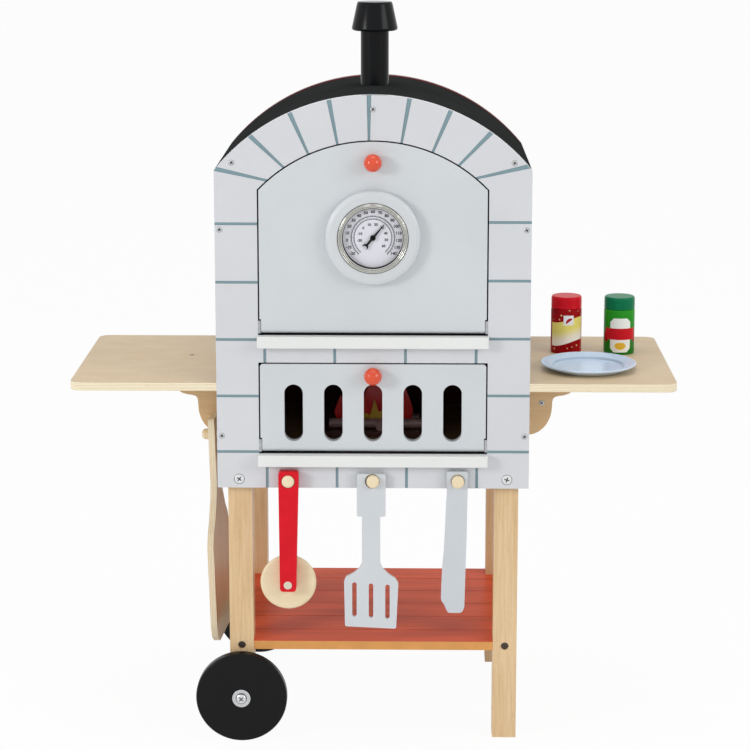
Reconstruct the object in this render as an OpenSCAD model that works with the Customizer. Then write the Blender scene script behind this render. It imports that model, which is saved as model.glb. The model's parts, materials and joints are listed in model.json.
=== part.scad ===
// Toy kitchen oven on a four-legged stand: arched brick front with two bottom-hung doors,
// two side shelves with brackets, chimney, two wheels on the left, pegs with hanging utensils,
// a peel, two jars and a plate.
// Units are millimetres. X is to the right, Y to the back, Z up. The origin is on the floor,
// at the middle of the outline's length and depth.

/* [Front panel and body] */
// Width of the body across the front panel
body_w = 386; // [300:1:460]
// Thickness of the front, side and back boards
board_t = 12; // [9:0.5:18]
// Depth of the body from the front face to the back face
body_d = 290; // [220:1:360]
// Height of the body's lower edge above the floor
body_z = 330.5; // [250:0.5:400]
// Height of the centre of both arches
arch_z = 569.3; // [500:0.1:640]
// Radius of the outer arch
arch_r = 249.6; // [200:0.1:300]
// Thickness of the bent roof board
roof_t = 6; // [4:0.5:9]
// Width of a brick joint
joint_w = 3.4; // [1.5:0.1:5]
// Depth of a brick joint
joint_d = 0.9; // [0.4:0.1:2]

/* [Doors] */
// Half width of both door openings
open_hw = 141; // [110:0.5:155]
// Radius of the upper opening's arch
open_r = 195; // [160:0.5:220]
// Height of the upper opening's sill
sill_up_z = 524; // [500:0.5:560]
// Height of the lower opening's sill
sill_low_z = 374.5; // [350:0.5:400]
// Height of the lower opening's top
head_low_z = 489.5; // [450:0.5:505]
// Gap round each door
door_gap = 1.8; // [1:0.1:4]
// Thickness of both doors
door_t = 11.6; // [9:0.1:17]
// Width of a fire slot
slot_w = 23; // [12:0.5:30]
// Height of a fire slot
slot_h = 72; // [40:1:90]
// Distance between the middles of two fire slots
slot_pitch = 49; // [35:0.5:60]
// Diameter of a ball knob
knob_d = 22; // [16:0.5:30]
// Diameter of a hinge pin
pin_d = 4; // [3:0.1:6]
// Radial clearance of a pin in its bore
run_c = 0.05; // [0.01:0.01:0.1]

/* [Thermometer] */
// Height of the thermometer's centre
gauge_z = 646; // [600:0.5:700]
// Outer diameter of the turned ring
ring_d = 116; // [90:1:130]
// Thickness of the turned ring
ring_t = 12; // [8:0.5:18]
// Outer diameter of the metal bezel
bezel_d = 86; // [60:1:100]
// Diameter of the dial
dial_d = 73; // [50:1:90]
// Angle of the needle from the vertical, clockwise
needle_a = 40; // [-130:1:130]

/* [Stand] */
// Width and depth of a leg
leg_w = 30; // [24:0.5:40]
// Diameter of a wheel
wheel_d = 115; // [80:1:140]
// Thickness of a wheel
wheel_t = 16; // [10:0.5:24]
// Diameter of the axle bolt
axle_d = 8; // [6:0.5:12]
// Height of the lower shelf's top face
shelf_z = 126.8; // [90:0.2:180]
// Thickness of the lower shelf
shelf_t = 11; // [8:0.5:16]

/* [Side shelves] */
// Distance from the middle to a side shelf's outer edge
side_reach = 375; // [300:1:420]
// Height of a side shelf's top face
side_z = 463.6; // [420:0.2:500]
// Thickness of a side shelf
side_t = 10.2; // [6:0.1:15]
// Distance from a side shelf's back edge to the body's back face
side_back = 1; // [0:0.5:60]
// Radius of a side shelf's corners
side_r = 14; // [4:1:40]
// Distance from the front face to a bracket
bracket_y = 155; // [40:1:240]
// Thickness of a bracket
bracket_t = 16; // [9:0.5:24]

/* [Chimney] */
// Diameter of the chimney pipe
pipe_d = 35.5; // [25:0.5:50]
// Distance from the front face to the chimney's axis
pipe_y = 140; // [80:1:220]
// Height of the chimney cap's top
cap_top_z = 923; // [880:1:960]
// Height of the chimney cap
cap_h = 36; // [20:1:50]

/* [Pegs and utensils] */
// Height of the utensil pegs
peg_z = 341.5; // [338:0.5:360]
// Diameter of the utensil pegs
peg_d = 15.6; // [10:0.2:20]
// Reach of the utensil pegs in front of the panel
peg_out = 14.5; // [14:0.5:30]
// Distance between the utensil pegs
peg_pitch = 105; // [80:1:120]
// Height of the peel's peg
peel_z = 366; // [350:0.5:400]
// Turn of the peel about the vertical, in degrees
peel_yaw = 4.5; // [0:0.5:8]
// Lean of the peel towards the legs, in degrees
peel_lean = 1.8; // [0:0.2:4]

/* [Tableware] */
// Diameter of a jar
jar_d = 40; // [30:1:60]
// Height of a jar with its cap
jar_h = 75; // [50:1:110]
// Diameter of the plate
plate_d = 120; // [80:1:160]

/* [Hidden] */
$fn = 48;
eps = 0.01;
// running clearance beside each wheel and the pieces that turn
side_c = 0.25;
washer_t = 1.6;
spacer_t = 2.0;
head_t = 3.2;
seat_c = 0.05;

// The rear axle bolt reaches farthest back, the ball knobs or the utensil pegs farthest forward.
// The rear legs stand behind the back panel.
rear_leg_y = body_d;
rear_top_z = body_z + 150;
rear_reach = rear_leg_y + leg_w + spacer_t + wheel_t + 2 * side_c + washer_t + head_t;
knob_out = 10;
front_reach = max(peg_out, knob_out + knob_d / 2);
y0 = -(rear_reach - front_reach) / 2;

half_w = body_w / 2;
leg_out = half_w - board_t;
// height where the outer arch springs from the sides
spring_z = arch_z + sqrt(arch_r * arch_r - half_w * half_w);
crown_z = arch_z + arch_r;
side_h = spring_z - body_z;
side_d = body_d - side_back;
front_leg_y = board_t;
leg_x = leg_out - leg_w / 2;
in_r = arch_r - roof_t;
wheel_z = wheel_d / 2;
wheel_fy = front_leg_y - spacer_t - side_c - wheel_t;
wheel_ry = rear_leg_y + leg_w + spacer_t + side_c;
axis_up_z = sill_up_z + door_gap + door_t / 2;
axis_low_z = sill_low_z + door_gap + door_t / 2;
axis_y = door_t / 2;
hinge_h = 16;
hinge_t = 3.2;
hinge_c = 0.6;
ledge_hw = 142;
ledge_t = 14.5;
ledge_out = 13;
slot_z = 426;
groove_y = 57.5;
groove_pitch = 53.3;
spigot_d = 12;
up_knob_z = arch_z + open_r - 26.3;
low_knob_z = head_low_z - 15;
dial_y = 4.2;
handle_t = 12;
cut_wheel_t = 6;
flat_t = 5;

// Brick joints of the arch: angle at the outer arch, angle at the opening
arch_joints = [[-1.1, -1.4], [-12.3, -12.7], [-23.8, -23.7], [-36.6, -33.9], [-50.1, -41.9],
               [10.2, 10.2], [22.1, 21.8], [34.9, 32.4], [49, 40.5]];
// Brick joints of the sides, as shares of the height from the lower edge to the spring
left_rows = [0.835, 0.653, 0.473, 0.294, 0.116];
right_rows = [0.841, 0.659, 0.477, 0.297, 0.118];
// Upright brick joints, as shares of the openings' half width
mid_cols = [-0.943, -0.333, 0.283, 0.898];
low_cols = [-0.93, -0.316, 0.295, 0.911];

// Screws of the front panel run into the side panels and the three battens: [x, z]
edge_x = half_w - board_t / 2;
eave_x = leg_x + 5.4;
eave_screw_z = spring_z + 9.4;
ridge_screw_z = crown_z - 17;
edge_zs = [body_z + 0.817 * side_h, body_z + 0.167 * side_h];
screw_at = [[-eave_x, eave_screw_z], [0, ridge_screw_z], [eave_x, eave_screw_z],
            [-edge_x, edge_zs[0]], [edge_x, edge_zs[0]], [-edge_x, edge_zs[1]],
            [edge_x, edge_zs[1]]];
screw_l = board_t + 20;
bolt_z = body_z + 11;
bolt_at = [[-leg_x, bolt_z], [leg_x, bolt_z]];
peg_at = [-peg_pitch, 0, peg_pitch];
bolt_low_z = shelf_z - shelf_t / 2;
rear_bolt_zs = [body_z + 28, body_z + 122];

// Shelf brackets: distances out from the body and down from the shelf
under_z = side_z - side_t;
bracket_screw = [24, 50.4];
shelf_screw = [45.6];
// The peel's peg stands in front of the left bracket.
peel_y = bracket_y - 25;

// Places of the loose pieces on the right shelf: [x, distance from the front face]
red_at = [250, 193];
green_at = [319, 190];
plate_at = [271.5, 88];

// ---- helpers -------------------------------------------------------------------------

// Extrudes a front-view outline (x, z) from y = a to y = b, measured from the front face.
module slab(a, b) {
  translate([0, y0 + b, 0]) rotate([90, 0, 0]) linear_extrude(b - a) children();
}

// A rod along Y from y = a to y = b at (x, z).
module rod_y(x, z, r, a, b, n = 32) {
  translate([x, y0 + b, z]) rotate([90, 0, 0]) cylinder(r = r, h = b - a, $fn = n);
}

// A cone along Y, radius ra at y = a and rb at y = b.
module cone_y(x, z, ra, rb, a, b, n = 32) {
  translate([x, y0 + b, z]) rotate([90, 0, 0]) cylinder(r1 = rb, r2 = ra, h = b - a, $fn = n);
}

// A rod along X from x = a to x = b.
module rod_x(y, z, r, a, b, n = 32) {
  translate([a, y0 + y, z]) rotate([0, 90, 0]) cylinder(r = r, h = b - a, $fn = n);
}

// A block from (x1, y1, z1) to (x2, y2, z2), y measured from the front face.
module block(x1, y1, z1, x2, y2, z2) {
  translate([x1, y0 + y1, z1]) cube([x2 - x1, y2 - y1, z2 - z1]);
}

module rounded(x1, z1, x2, z2, r, n = 24) {
  hull() for (x = [x1 + r, x2 - r], z = [z1 + r, z2 - r]) translate([x, z]) circle(r, $fn = n);
}

// Outline of the body seen from the front.
module body_outline() {
  intersection() {
    union() {
      translate([0, arch_z]) circle(arch_r, $fn = 240);
      translate([-half_w, body_z]) square([body_w, arch_z - body_z]);
    }
    translate([-half_w, body_z]) square([body_w, arch_r * 2]);
  }
}

// Upper opening, made smaller all round by g.
module arch_outline(g = 0) {
  w = open_hw - g;
  intersection() {
    union() {
      translate([0, arch_z]) circle(open_r - g, $fn = 192);
      translate([-w, sill_up_z + g]) square([2 * w, arch_z - sill_up_z - g]);
    }
    translate([-w, sill_up_z + g]) square([2 * w, open_r * 2]);
  }
}

// Cross-shaped driver recess, cut into a head whose face is at y = a.
module cross_cut(x, z, l, w, a, depth) {
  slab(a - 1, a + depth) translate([x, z]) rotate(45) union() {
    square([l, w], center = true);
    square([w, l], center = true);
  }
}

// ---- body boards ---------------------------------------------------------------------

module joint_cuts() {
  slab(-1, joint_d) {
    for (j = arch_joints) {
      p = [arch_r * sin(j[0]), arch_z + arch_r * cos(j[0])];
      q = [(open_r + 2) * sin(j[1]), arch_z + (open_r + 2) * cos(j[1])];
      u = (q - p) / norm(q - p);
      n = [-u[1], u[0]];
      a = p - 6 * u;
      b = q + 8 * u;
      polygon([a + n * joint_w * 0.85, a - n * joint_w * 0.85,
               b - n * joint_w * 0.4, b + n * joint_w * 0.4]);
    }
    for (k = left_rows) translate([-half_w - 1, body_z + k * side_h - joint_w / 2])
      square([half_w - open_hw + 2, joint_w]);
    for (k = right_rows) translate([open_hw - 1, body_z + k * side_h - joint_w / 2])
      square([half_w - open_hw + 2, joint_w]);
    for (k = mid_cols) translate([k * open_hw - joint_w / 2, head_low_z - 1])
      square([joint_w, sill_up_z - ledge_t - head_low_z + 2]);
    for (k = low_cols) translate([k * open_hw - joint_w / 2, body_z - 1])
      square([joint_w, sill_low_z - ledge_t - body_z + 2]);
  }
}

module front_panel() {
  color([0.84, 0.845, 0.86]) difference() {
    slab(0, board_t) difference() {
      body_outline();
      arch_outline();
      translate([-open_hw, sill_low_z]) square([2 * open_hw, head_low_z - sill_low_z]);
    }
    joint_cuts();
    for (p = screw_at) {
      cone_y(p[0], p[1], 3.85, 1.85, -0.2, 1.8, 24);
      rod_y(p[0], p[1], 1.85, 0, board_t + 1, 16);
    }
    for (p = bolt_at) {
      rod_y(p[0], p[1], 6.6, -1, 2.6);
      rod_y(p[0], p[1], 3.05, 0, board_t + 1, 24);
    }
    for (x = peg_at) rod_y(x, peg_z, peg_d / 2 - 1.5 + seat_c, -1, board_t + 1);
  }
}

module back_panel() {
  color([0.45, 0.13, 0.12]) difference() {
    slab(body_d - board_t, body_d) body_outline();
    for (s = [-1, 1], z = rear_bolt_zs) rod_y(s * leg_x, z, 2.55, body_d - 10, body_d + 1, 24);
  }
}

module side_panel(s) {
  x1 = s > 0 ? leg_out : -half_w;
  difference() {
    block(x1, board_t, body_z, x1 + half_w - leg_out, body_d - board_t, spring_z);
    for (z = edge_zs) rod_y(s * edge_x, z, 1.55, board_t - 1, screw_l + 1, 16);
    if (s < 0) rod_x(peel_y, peel_z, 6.05, -half_w - 1, -leg_out + 1);
  }
}

module left_side_panel() { color([0.84, 0.845, 0.86]) side_panel(-1); }
module right_side_panel() { color([0.84, 0.845, 0.86]) side_panel(1); }

module roof() {
  color([0.16, 0.165, 0.17]) difference() {
    slab(board_t, body_d - board_t) intersection() {
      difference() {
        translate([0, arch_z]) circle(arch_r, $fn = 240);
        translate([0, arch_z]) circle(in_r, $fn = 240);
      }
      translate([-half_w, spring_z]) square([body_w, arch_r]);
    }
    translate([0, y0 + pipe_y, arch_z]) cylinder(d = spigot_d + 0.1, h = arch_r + 5, $fn = 32);
  }
}

module batten_outline(x1, z1, x2, z2) {
  intersection() {
    translate([0, arch_z]) circle(in_r, $fn = 240);
    translate([x1, z1]) square([x2 - x1, z2 - z1]);
  }
}

module ridge_batten() {
  color([0.8, 0.66, 0.46]) difference() {
    slab(board_t, body_d - board_t) batten_outline(-12, crown_z - 27, 12, crown_z);
    rod_y(0, ridge_screw_z, 1.55, board_t - 1, screw_l + 1, 16);
    translate([0, y0 + pipe_y, crown_z - 24]) cylinder(d = spigot_d + 0.1, h = 60, $fn = 32);
  }
}

module eave_batten(s) {
  difference() {
    slab(board_t, body_d - board_t)
      batten_outline(s > 0 ? leg_x - 12 : -leg_out, spring_z, s > 0 ? leg_out : 12 - leg_x,
                     spring_z + 26);
    rod_y(s * eave_x, eave_screw_z, 1.55, board_t - 1, screw_l + 1, 16);
  }
}

module eave_battens() { color([0.8, 0.66, 0.46]) for (s = [-1, 1]) eave_batten(s); }

// A floor between the side panels, notched round the front legs.
module inner_floor(top) {
  difference() {
    block(-leg_out, board_t, top - board_t, leg_out, body_d - board_t, top);
    for (s = [-1, 1])
      block(s * leg_x - leg_w / 2 - (s < 0 ? 1 : 0), front_leg_y - 1, top - board_t - 1,
            s * leg_x + leg_w / 2 + (s > 0 ? 1 : 0), front_leg_y + leg_w + 1, top + 1);
  }
}

module oven_floor() { color([0.3, 0.27, 0.26]) inner_floor(sill_up_z); }
module fire_floor() { color([0.2, 0.12, 0.1]) inner_floor(sill_low_z); }

module ledge(top) {
  slab_h = ledge_t;
  difference() {
    block(-ledge_hw, -ledge_out, top - slab_h, ledge_hw, 0, top);
    for (s = [-1, 1]) translate([s * ledge_hw, y0 - ledge_out, top - slab_h - 1])
      rotate(45) cube([2.4, 2.4, 2 * slab_h + 4], center = true);
  }
}

module upper_ledge() { color([0.9, 0.905, 0.89]) ledge(sill_up_z); }
module lower_ledge() { color([0.9, 0.905, 0.89]) ledge(sill_low_z); }

// ---- legs and lower shelf ------------------------------------------------------------

module leg(s, y, low) {
  difference() {
    union() {
      block(s * leg_x - leg_w / 2, y, low ? 0 : wheel_z, s * leg_x + leg_w / 2, y + leg_w,
            y == front_leg_y ? spring_z : rear_top_z);
      if (!low) rod_y(s * leg_x, wheel_z, leg_w / 2, y, y + leg_w);
    }
    if (!low) rod_y(s * leg_x, wheel_z, axle_d / 2 + seat_c, y - 1, y + leg_w + 1);
    if (y == front_leg_y) {
      rod_y(s * leg_x, bolt_z, 2.55, y - 1, y + 24, 24);
      rod_y(s * leg_x, bolt_low_z, 5, y - 1, y + 6, 24);
      rod_y(s * leg_x, bolt_low_z, 3.05, y, y + leg_w + 1, 24);
    } else {
      for (z = rear_bolt_zs) rod_y(s * leg_x, z, 2.55, y - 1, y + leg_w + 1, 24);
      rod_y(s * leg_x, bolt_low_z, 5, y + leg_w - 6, y + leg_w + 1, 24);
      rod_y(s * leg_x, bolt_low_z, 3.05, y - 1, y + leg_w, 24);
    }
  }
}

module front_left_leg() { color([0.85, 0.73, 0.57]) leg(-1, front_leg_y, false); }
module front_right_leg() { color([0.85, 0.73, 0.57]) leg(1, front_leg_y, true); }
module rear_left_leg() { color([0.85, 0.73, 0.57]) leg(-1, rear_leg_y, false); }
module rear_right_leg() { color([0.85, 0.73, 0.57]) leg(1, rear_leg_y, true); }

// Shelf of planks, notched round the four legs and bolted through them.
module lower_shelf() {
  x1 = leg_x - leg_w / 2;
  y1 = front_leg_y + 0.5;
  y2 = rear_leg_y + leg_w - 3;
  color([0.72, 0.2, 0.12]) difference() {
    block(-leg_out, y1, shelf_z - shelf_t, leg_out, y2, shelf_z);
    for (s = [-1, 1], y = [[y1 - 1, front_leg_y + leg_w], [rear_leg_y, y2 + 1]])
      block(s > 0 ? x1 : -leg_out - 1, y[0], shelf_z - shelf_t - 1,
            s > 0 ? leg_out + 1 : -x1, y[1], shelf_z + 1);
    for (i = [0:4]) block(-leg_out - 1, groove_y + i * groove_pitch, shelf_z - 0.8,
                          leg_out + 1, groove_y + 1.2 + i * groove_pitch, shelf_z + 1);
    for (s = [-1, 1]) {
      rod_y(s * leg_x, bolt_low_z, 2.55, front_leg_y + leg_w - 1, front_leg_y + leg_w + 31, 24);
      rod_y(s * leg_x, bolt_low_z, 2.55, rear_leg_y - 31, rear_leg_y + 1, 24);
    }
  }
}

// ---- side shelves --------------------------------------------------------------------

module side_shelf(s) {
  difference() {
    translate([0, y0, side_z - side_t]) linear_extrude(side_t) hull() {
      translate([s > 0 ? half_w : -half_w - 1, 0]) square([1, side_d]);
      for (y = [side_r, side_d - side_r]) translate([s * (side_reach - side_r), y])
        circle(side_r, $fn = 48);
    }
    for (x = shelf_screw) translate([s * (half_w + x), y0 + bracket_y + bracket_t / 2,
                                     under_z - 1]) {
      cylinder(d = 3.1, h = 20, $fn = 16);
      translate([0, 0, side_t + 1 - 1.8]) cylinder(r1 = 1.55, r2 = 3.55, h = 2, $fn = 24);
    }
  }
}

module left_shelf() { color([0.86, 0.77, 0.63]) side_shelf(-1); }
module right_shelf() { color([0.86, 0.77, 0.63]) side_shelf(1); }

// Ogee bracket profile for the right side.
module bracket_outline() {
  translate([half_w, under_z]) polygon(concat([[0, 0], [0, -93.4]],
    [for (a = [-90:10:0]) [6 + 31.6 * cos(a), -55.4 + 38 * sin(a)]],
    [[37.9, -49.5], [38.8, -45.4], [40.8, -43], [45, -41.6], [52, -40.6], [59, -38.4],
     [65, -34], [69, -27], [71.5, -18], [72.5, -8], [73, 0]]));
}

module bracket(s) {
  difference() {
    slab(bracket_y, bracket_y + bracket_t) mirror([s > 0 ? 0 : 1, 0]) bracket_outline();
    if (s > 0) {
      cone_y(half_w + bracket_screw[0], under_z - bracket_screw[1], 3.85, 1.85,
             bracket_y - 0.2, bracket_y + 1.8, 24);
      rod_y(half_w + bracket_screw[0], under_z - bracket_screw[1], 1.85, bracket_y,
            bracket_y + bracket_t - 2, 16);
    }
    for (x = shelf_screw) translate([s * (half_w + x), y0 + bracket_y + bracket_t / 2,
                                     under_z - 14]) cylinder(d = 3.1, h = 20, $fn = 16);
  }
}

module left_bracket() { color([0.85, 0.73, 0.57]) bracket(-1); }
module right_bracket() { color([0.85, 0.73, 0.57]) bracket(1); }

// ---- chimney -------------------------------------------------------------------------

module chimney_pipe() {
  color([0.11, 0.115, 0.12]) {
    difference() {
      translate([0, y0 + pipe_y, arch_z + arch_r - 3])
        cylinder(d = pipe_d, h = cap_top_z - cap_h - arch_z - arch_r + 3, $fn = 64);
      slab(0, body_d) translate([0, arch_z]) circle(arch_r, $fn = 240);
    }
    translate([0, y0 + pipe_y, crown_z - 23]) cylinder(d = spigot_d, h = 29, $fn = 32);
  }
}

module chimney_cap() {
  color([0.11, 0.115, 0.12]) translate([0, y0 + pipe_y, cap_top_z - cap_h])
    rotate_extrude($fn = 64) polygon([[0, 0], [26.5, 0], [28.3, 0.8], [29, 2.4], [28.9, 4.2],
      [22.6, cap_h - 3.4], [21.7, cap_h - 1.2], [20, cap_h], [0, cap_h]]);
}

// ---- pegs ----------------------------------------------------------------------------

// Peg with a bevelled end and a thinner tenon, pointing along -Y from the front face.
module front_peg(x) {
  translate([x, y0, peg_z]) rotate([90, 0, 0]) rotate_extrude($fn = 40)
    polygon([[0, -board_t], [peg_d / 2 - 1.5, -board_t], [peg_d / 2 - 1.5, 0], [peg_d / 2, 0],
             [peg_d / 2, peg_out - 1.6], [peg_d / 2 - 1.6, peg_out], [0, peg_out]]);
}

module utensil_pegs() { color([0.87, 0.78, 0.6]) for (x = peg_at) front_peg(x); }

module peel_peg() {
  r = 7;
  color([0.87, 0.78, 0.6]) translate([-half_w, y0 + peel_y, peel_z]) rotate([0, -90, 0])
    rotate_extrude($fn = 40) polygon([[0, -(half_w - leg_out)], [6, -(half_w - leg_out)],
      [6, 0], [r, 0], [r, 26], [r - 0.4, 28], [r - 1.6, 29.7], [r - 3.6, 30.8], [0, 31.2]]);
}

// ---- screws, bolts and hinges --------------------------------------------------------

// Small countersunk screw with a slightly domed cross head, flush at y = a.
module small_screw(x, z, a, l) {
  difference() {
    translate([x, y0 + a, z]) rotate([90, 0, 0]) rotate_extrude($fn = 24)
      polygon([[0, -l], [1.5, -l], [1.5, -1.8], [1.83, -1.8], [3.63, 0], [3.2, 0.5], [1.8, 0.8],
               [0, 0.9]]);
    cross_cut(x, z, 4.3, 1.2, a, 0.9);
  }
}

module panel_screws() {
  color([0.62, 0.62, 0.64]) for (p = screw_at) small_screw(p[0], p[1], 0, screw_l);
}

module bracket_screw() {
  color([0.62, 0.62, 0.64])
    small_screw(half_w + bracket_screw[0], under_z - bracket_screw[1], bracket_y, bracket_t - 2);
}

// Countersunk screws through each side shelf into its bracket.
module shelf_screws() {
  color([0.62, 0.62, 0.64]) for (s = [-1, 1], x = shelf_screw) difference() {
    translate([s * (half_w + x), y0 + bracket_y + bracket_t / 2, side_z])
      rotate_extrude($fn = 24)
      polygon([[0, -22], [1.5, -22], [1.5, -1.83], [3.23, -0.1], [3.23, 0], [0, 0]]);
    for (a = [45, 135]) translate([s * (half_w + x), y0 + bracket_y + bracket_t / 2, side_z])
      rotate(a) cube([3.4, 0.8, 1.4], center = true);
  }
}

// Furniture bolt with a shallow domed head and a cross recess.
module frame_bolts() {
  color([0.8, 0.8, 0.81]) for (p = bolt_at) difference() {
    translate([p[0], y0 + 2.6, p[1]]) rotate([90, 0, 0]) rotate_extrude($fn = 32)
      polygon([[0, -32], [2.5, -32], [2.5, -9.4], [3, -9.4], [3, 0], [6.5, 0], [6.5, 1.6],
               [5.9, 2.6], [4.2, 3.1], [0, 3.3]]);
    cross_cut(p[0], p[1], 6.6, 1.5, 0, 1.2);
  }
}

// Domed bolts from behind, through the rear legs into the back panel.
module rear_bolts() {
  y = rear_leg_y + leg_w;
  color([0.75, 0.75, 0.77]) for (s = [-1, 1], z = rear_bolt_zs) difference() {
    translate([s * leg_x, y0 + y, z]) rotate([-90, 0, 0]) rotate_extrude($fn = 32)
      polygon([[0, body_d - y - 9], [2.5, body_d - y - 9], [2.5, 0], [6.5, 0], [6.1, 1.2],
               [4.6, 2.2], [0, 2.6]]);
    slab(y + 1.4, y + 4) translate([s * leg_x, z]) rotate(45) union() {
      square([6.6, 1.5], center = true);
      square([1.5, 6.6], center = true);
    }
  }
}

// Countersunk bolts through the legs into the lower shelf's edges.
module leg_bolts() {
  color([0.3, 0.28, 0.27]) for (s = [-1, 1]) {
    difference() {
      union() {
        rod_y(s * leg_x, bolt_low_z, 4.7, front_leg_y + 3, front_leg_y + 6, 24);
        rod_y(s * leg_x, bolt_low_z, 2.5, front_leg_y + 6, front_leg_y + leg_w + 30, 24);
      }
      slab(front_leg_y, front_leg_y + 4.6) translate([s * leg_x, bolt_low_z]) circle(2, $fn = 6);
    }
    difference() {
      union() {
        rod_y(s * leg_x, bolt_low_z, 4.7, rear_leg_y + leg_w - 6, rear_leg_y + leg_w - 3, 24);
        rod_y(s * leg_x, bolt_low_z, 2.5, rear_leg_y - 30, rear_leg_y + leg_w - 6, 24);
      }
      slab(rear_leg_y + leg_w - 4.6, rear_leg_y + leg_w)
        translate([s * leg_x, bolt_low_z]) circle(2, $fn = 6);
    }
  }
}

// A small plate on the side of an opening with the pin that the door turns on.
module hinge_pivot(s, z) {
  x = s * (open_hw - hinge_t / 2);
  block(x - hinge_t / 2, 0.6, z - axis_y + 0.2, x + hinge_t / 2, board_t - 0.6,
        z - axis_y + hinge_h);
  rod_x(axis_y, z, pin_d / 2, s > 0 ? open_hw - hinge_t - 12 : -open_hw + hinge_t - eps,
        s > 0 ? open_hw - hinge_t + eps : -open_hw + hinge_t + 12);
}

module hinge_pivots() {
  color([0.7, 0.7, 0.72]) for (s = [-1, 1], z = [axis_up_z, axis_low_z]) hinge_pivot(s, z);
}

// Blocks behind the top of each door that stop it and hold its catch.
module door_catches() {
  color([0.8, 0.66, 0.46]) for (z = [arch_z + open_r - 10, head_low_z - 10])
    block(-16, board_t, z, 16, board_t + 12, z + 20);
}

// ---- wheels --------------------------------------------------------------------------

module wheel(y) {
  difference() {
    translate([-leg_x, y0 + y + wheel_t, wheel_z]) rotate([90, 0, 0]) rotate_extrude($fn = 96)
      polygon([[0, 0], [wheel_z - 3, 0], [wheel_z - 0.9, 0.9], [wheel_z, 3],
               [wheel_z, wheel_t - 3], [wheel_z - 0.9, wheel_t - 0.9],
               [wheel_z - 3, wheel_t], [0, wheel_t]]);
    rod_y(-leg_x, wheel_z, axle_d / 2 + run_c, y - 1, y + wheel_t + 1, 48);
  }
}

module front_wheel() { color([0.12, 0.12, 0.12]) wheel(wheel_fy); }
module rear_wheel() { color([0.12, 0.12, 0.12]) wheel(wheel_ry); }

module ring_y(x, z, ro, ri, a, b, n = 40) {
  difference() {
    rod_y(x, z, ro, a, b, n);
    rod_y(x, z, ri, a - 1, b + 1, n);
  }
}

module axle_spacers() {
  color([0.7, 0.7, 0.72]) {
    ring_y(-leg_x, wheel_z, 11, axle_d / 2 + seat_c, front_leg_y - spacer_t, front_leg_y);
    ring_y(-leg_x, wheel_z, 11, axle_d / 2 + seat_c, rear_leg_y + leg_w,
           rear_leg_y + leg_w + spacer_t);
  }
}

module axle_washers() {
  color([0.7, 0.7, 0.72]) {
    ring_y(-leg_x, wheel_z, 11.5, axle_d / 2 + seat_c, wheel_fy - side_c - washer_t,
           wheel_fy - side_c);
    ring_y(-leg_x, wheel_z, 11.5, axle_d / 2 + seat_c, wheel_ry + wheel_t + side_c,
           wheel_ry + wheel_t + side_c + washer_t);
  }
}

module axle_bolts() {
  f = wheel_fy - side_c - washer_t;
  r = wheel_ry + wheel_t + side_c + washer_t;
  color([0.75, 0.75, 0.77]) {
    difference() {
      translate([-leg_x, y0 + f, wheel_z]) rotate([90, 0, 0]) rotate_extrude($fn = 48)
        polygon([[0, f - front_leg_y - leg_w + 3], [axle_d / 2, f - front_leg_y - leg_w + 3],
                 [axle_d / 2, 0], [7, 0], [6.8, 1.4], [5.4, 2.6], [2.8, head_t], [0, head_t]]);
      cross_cut(-leg_x, wheel_z, 7, 1.5, f - head_t, 1.4);
    }
    difference() {
      translate([-leg_x, y0 + r, wheel_z]) rotate([-90, 0, 0]) rotate_extrude($fn = 48)
        polygon([[0, rear_leg_y - r + 3], [axle_d / 2, rear_leg_y - r + 3],
                 [axle_d / 2, 0], [7, 0], [6.8, 1.4], [5.4, 2.6], [2.8, head_t], [0, head_t]]);
      slab(r + head_t - 1.4, r + head_t + 1) translate([-leg_x, wheel_z]) rotate(45) union() {
        square([7, 1.5], center = true);
        square([1.5, 7], center = true);
      }
    }
  }
}

// ---- doors and thermometer -----------------------------------------------------------

// Bores and corner notches for the two hinge pivots of a door.
module hinge_cuts(z) {
  for (s = [-1, 1]) {
    xi = open_hw - hinge_t - hinge_c;
    block(s > 0 ? xi : -open_hw - 1, -1, z - 12, s > 0 ? open_hw + 1 : -xi, board_t + 1,
          z - axis_y + hinge_h + 1.9);
    rod_x(axis_y, z, pin_d / 2 + run_c, s > 0 ? open_hw - hinge_t - 13 : -open_hw,
          s > 0 ? open_hw : -open_hw + hinge_t + 13);
  }
}

module upper_door() {
  hw = open_hw - door_gap;
  color([0.81, 0.825, 0.84]) difference() {
    union() {
      slab(0, door_t) intersection() {
        arch_outline(door_gap);
        translate([-hw, axis_up_z]) square([2 * hw, open_r * 2]);
      }
      rod_x(axis_y, axis_up_z, door_t / 2, -hw, hw, 48);
    }
    hinge_cuts(axis_up_z);
    rod_y(0, up_knob_z, 2.05, -1, door_t + 1, 24);
  }
}

module lower_door() {
  hw = open_hw - door_gap;
  color([0.81, 0.825, 0.84]) difference() {
    union() {
      slab(0, door_t) hull() {
        translate([-hw, axis_low_z]) square([2 * hw, 1]);
        for (s = [-1, 1]) translate([s * (hw - 4), head_low_z - door_gap - 4])
          circle(4, $fn = 24);
      }
      rod_x(axis_y, axis_low_z, door_t / 2, -hw, hw, 48);
    }
    slab(-1, door_t + 1) for (i = [-2:2]) hull() for (z = [-1, 1])
      translate([i * slot_pitch, slot_z + z * (slot_h - slot_w) / 2]) circle(slot_w / 2, $fn = 32);
    hinge_cuts(axis_low_z);
    rod_y(0, low_knob_z, 2.05, -1, door_t + 1, 24);
  }
}

// Ball knob with a short collar and a stud through the door.
module knob(z) {
  r = knob_d / 2;
  translate([0, y0, z]) rotate([90, 0, 0]) rotate_extrude($fn = 40)
    polygon(concat([[0, -door_t + 1], [2, -door_t + 1], [2, 0], [5.5, 0]],
      [for (a = [-55:10:85]) [r * cos(a), knob_out + r * sin(a)]], [[0, knob_out + r]]));
}

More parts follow.
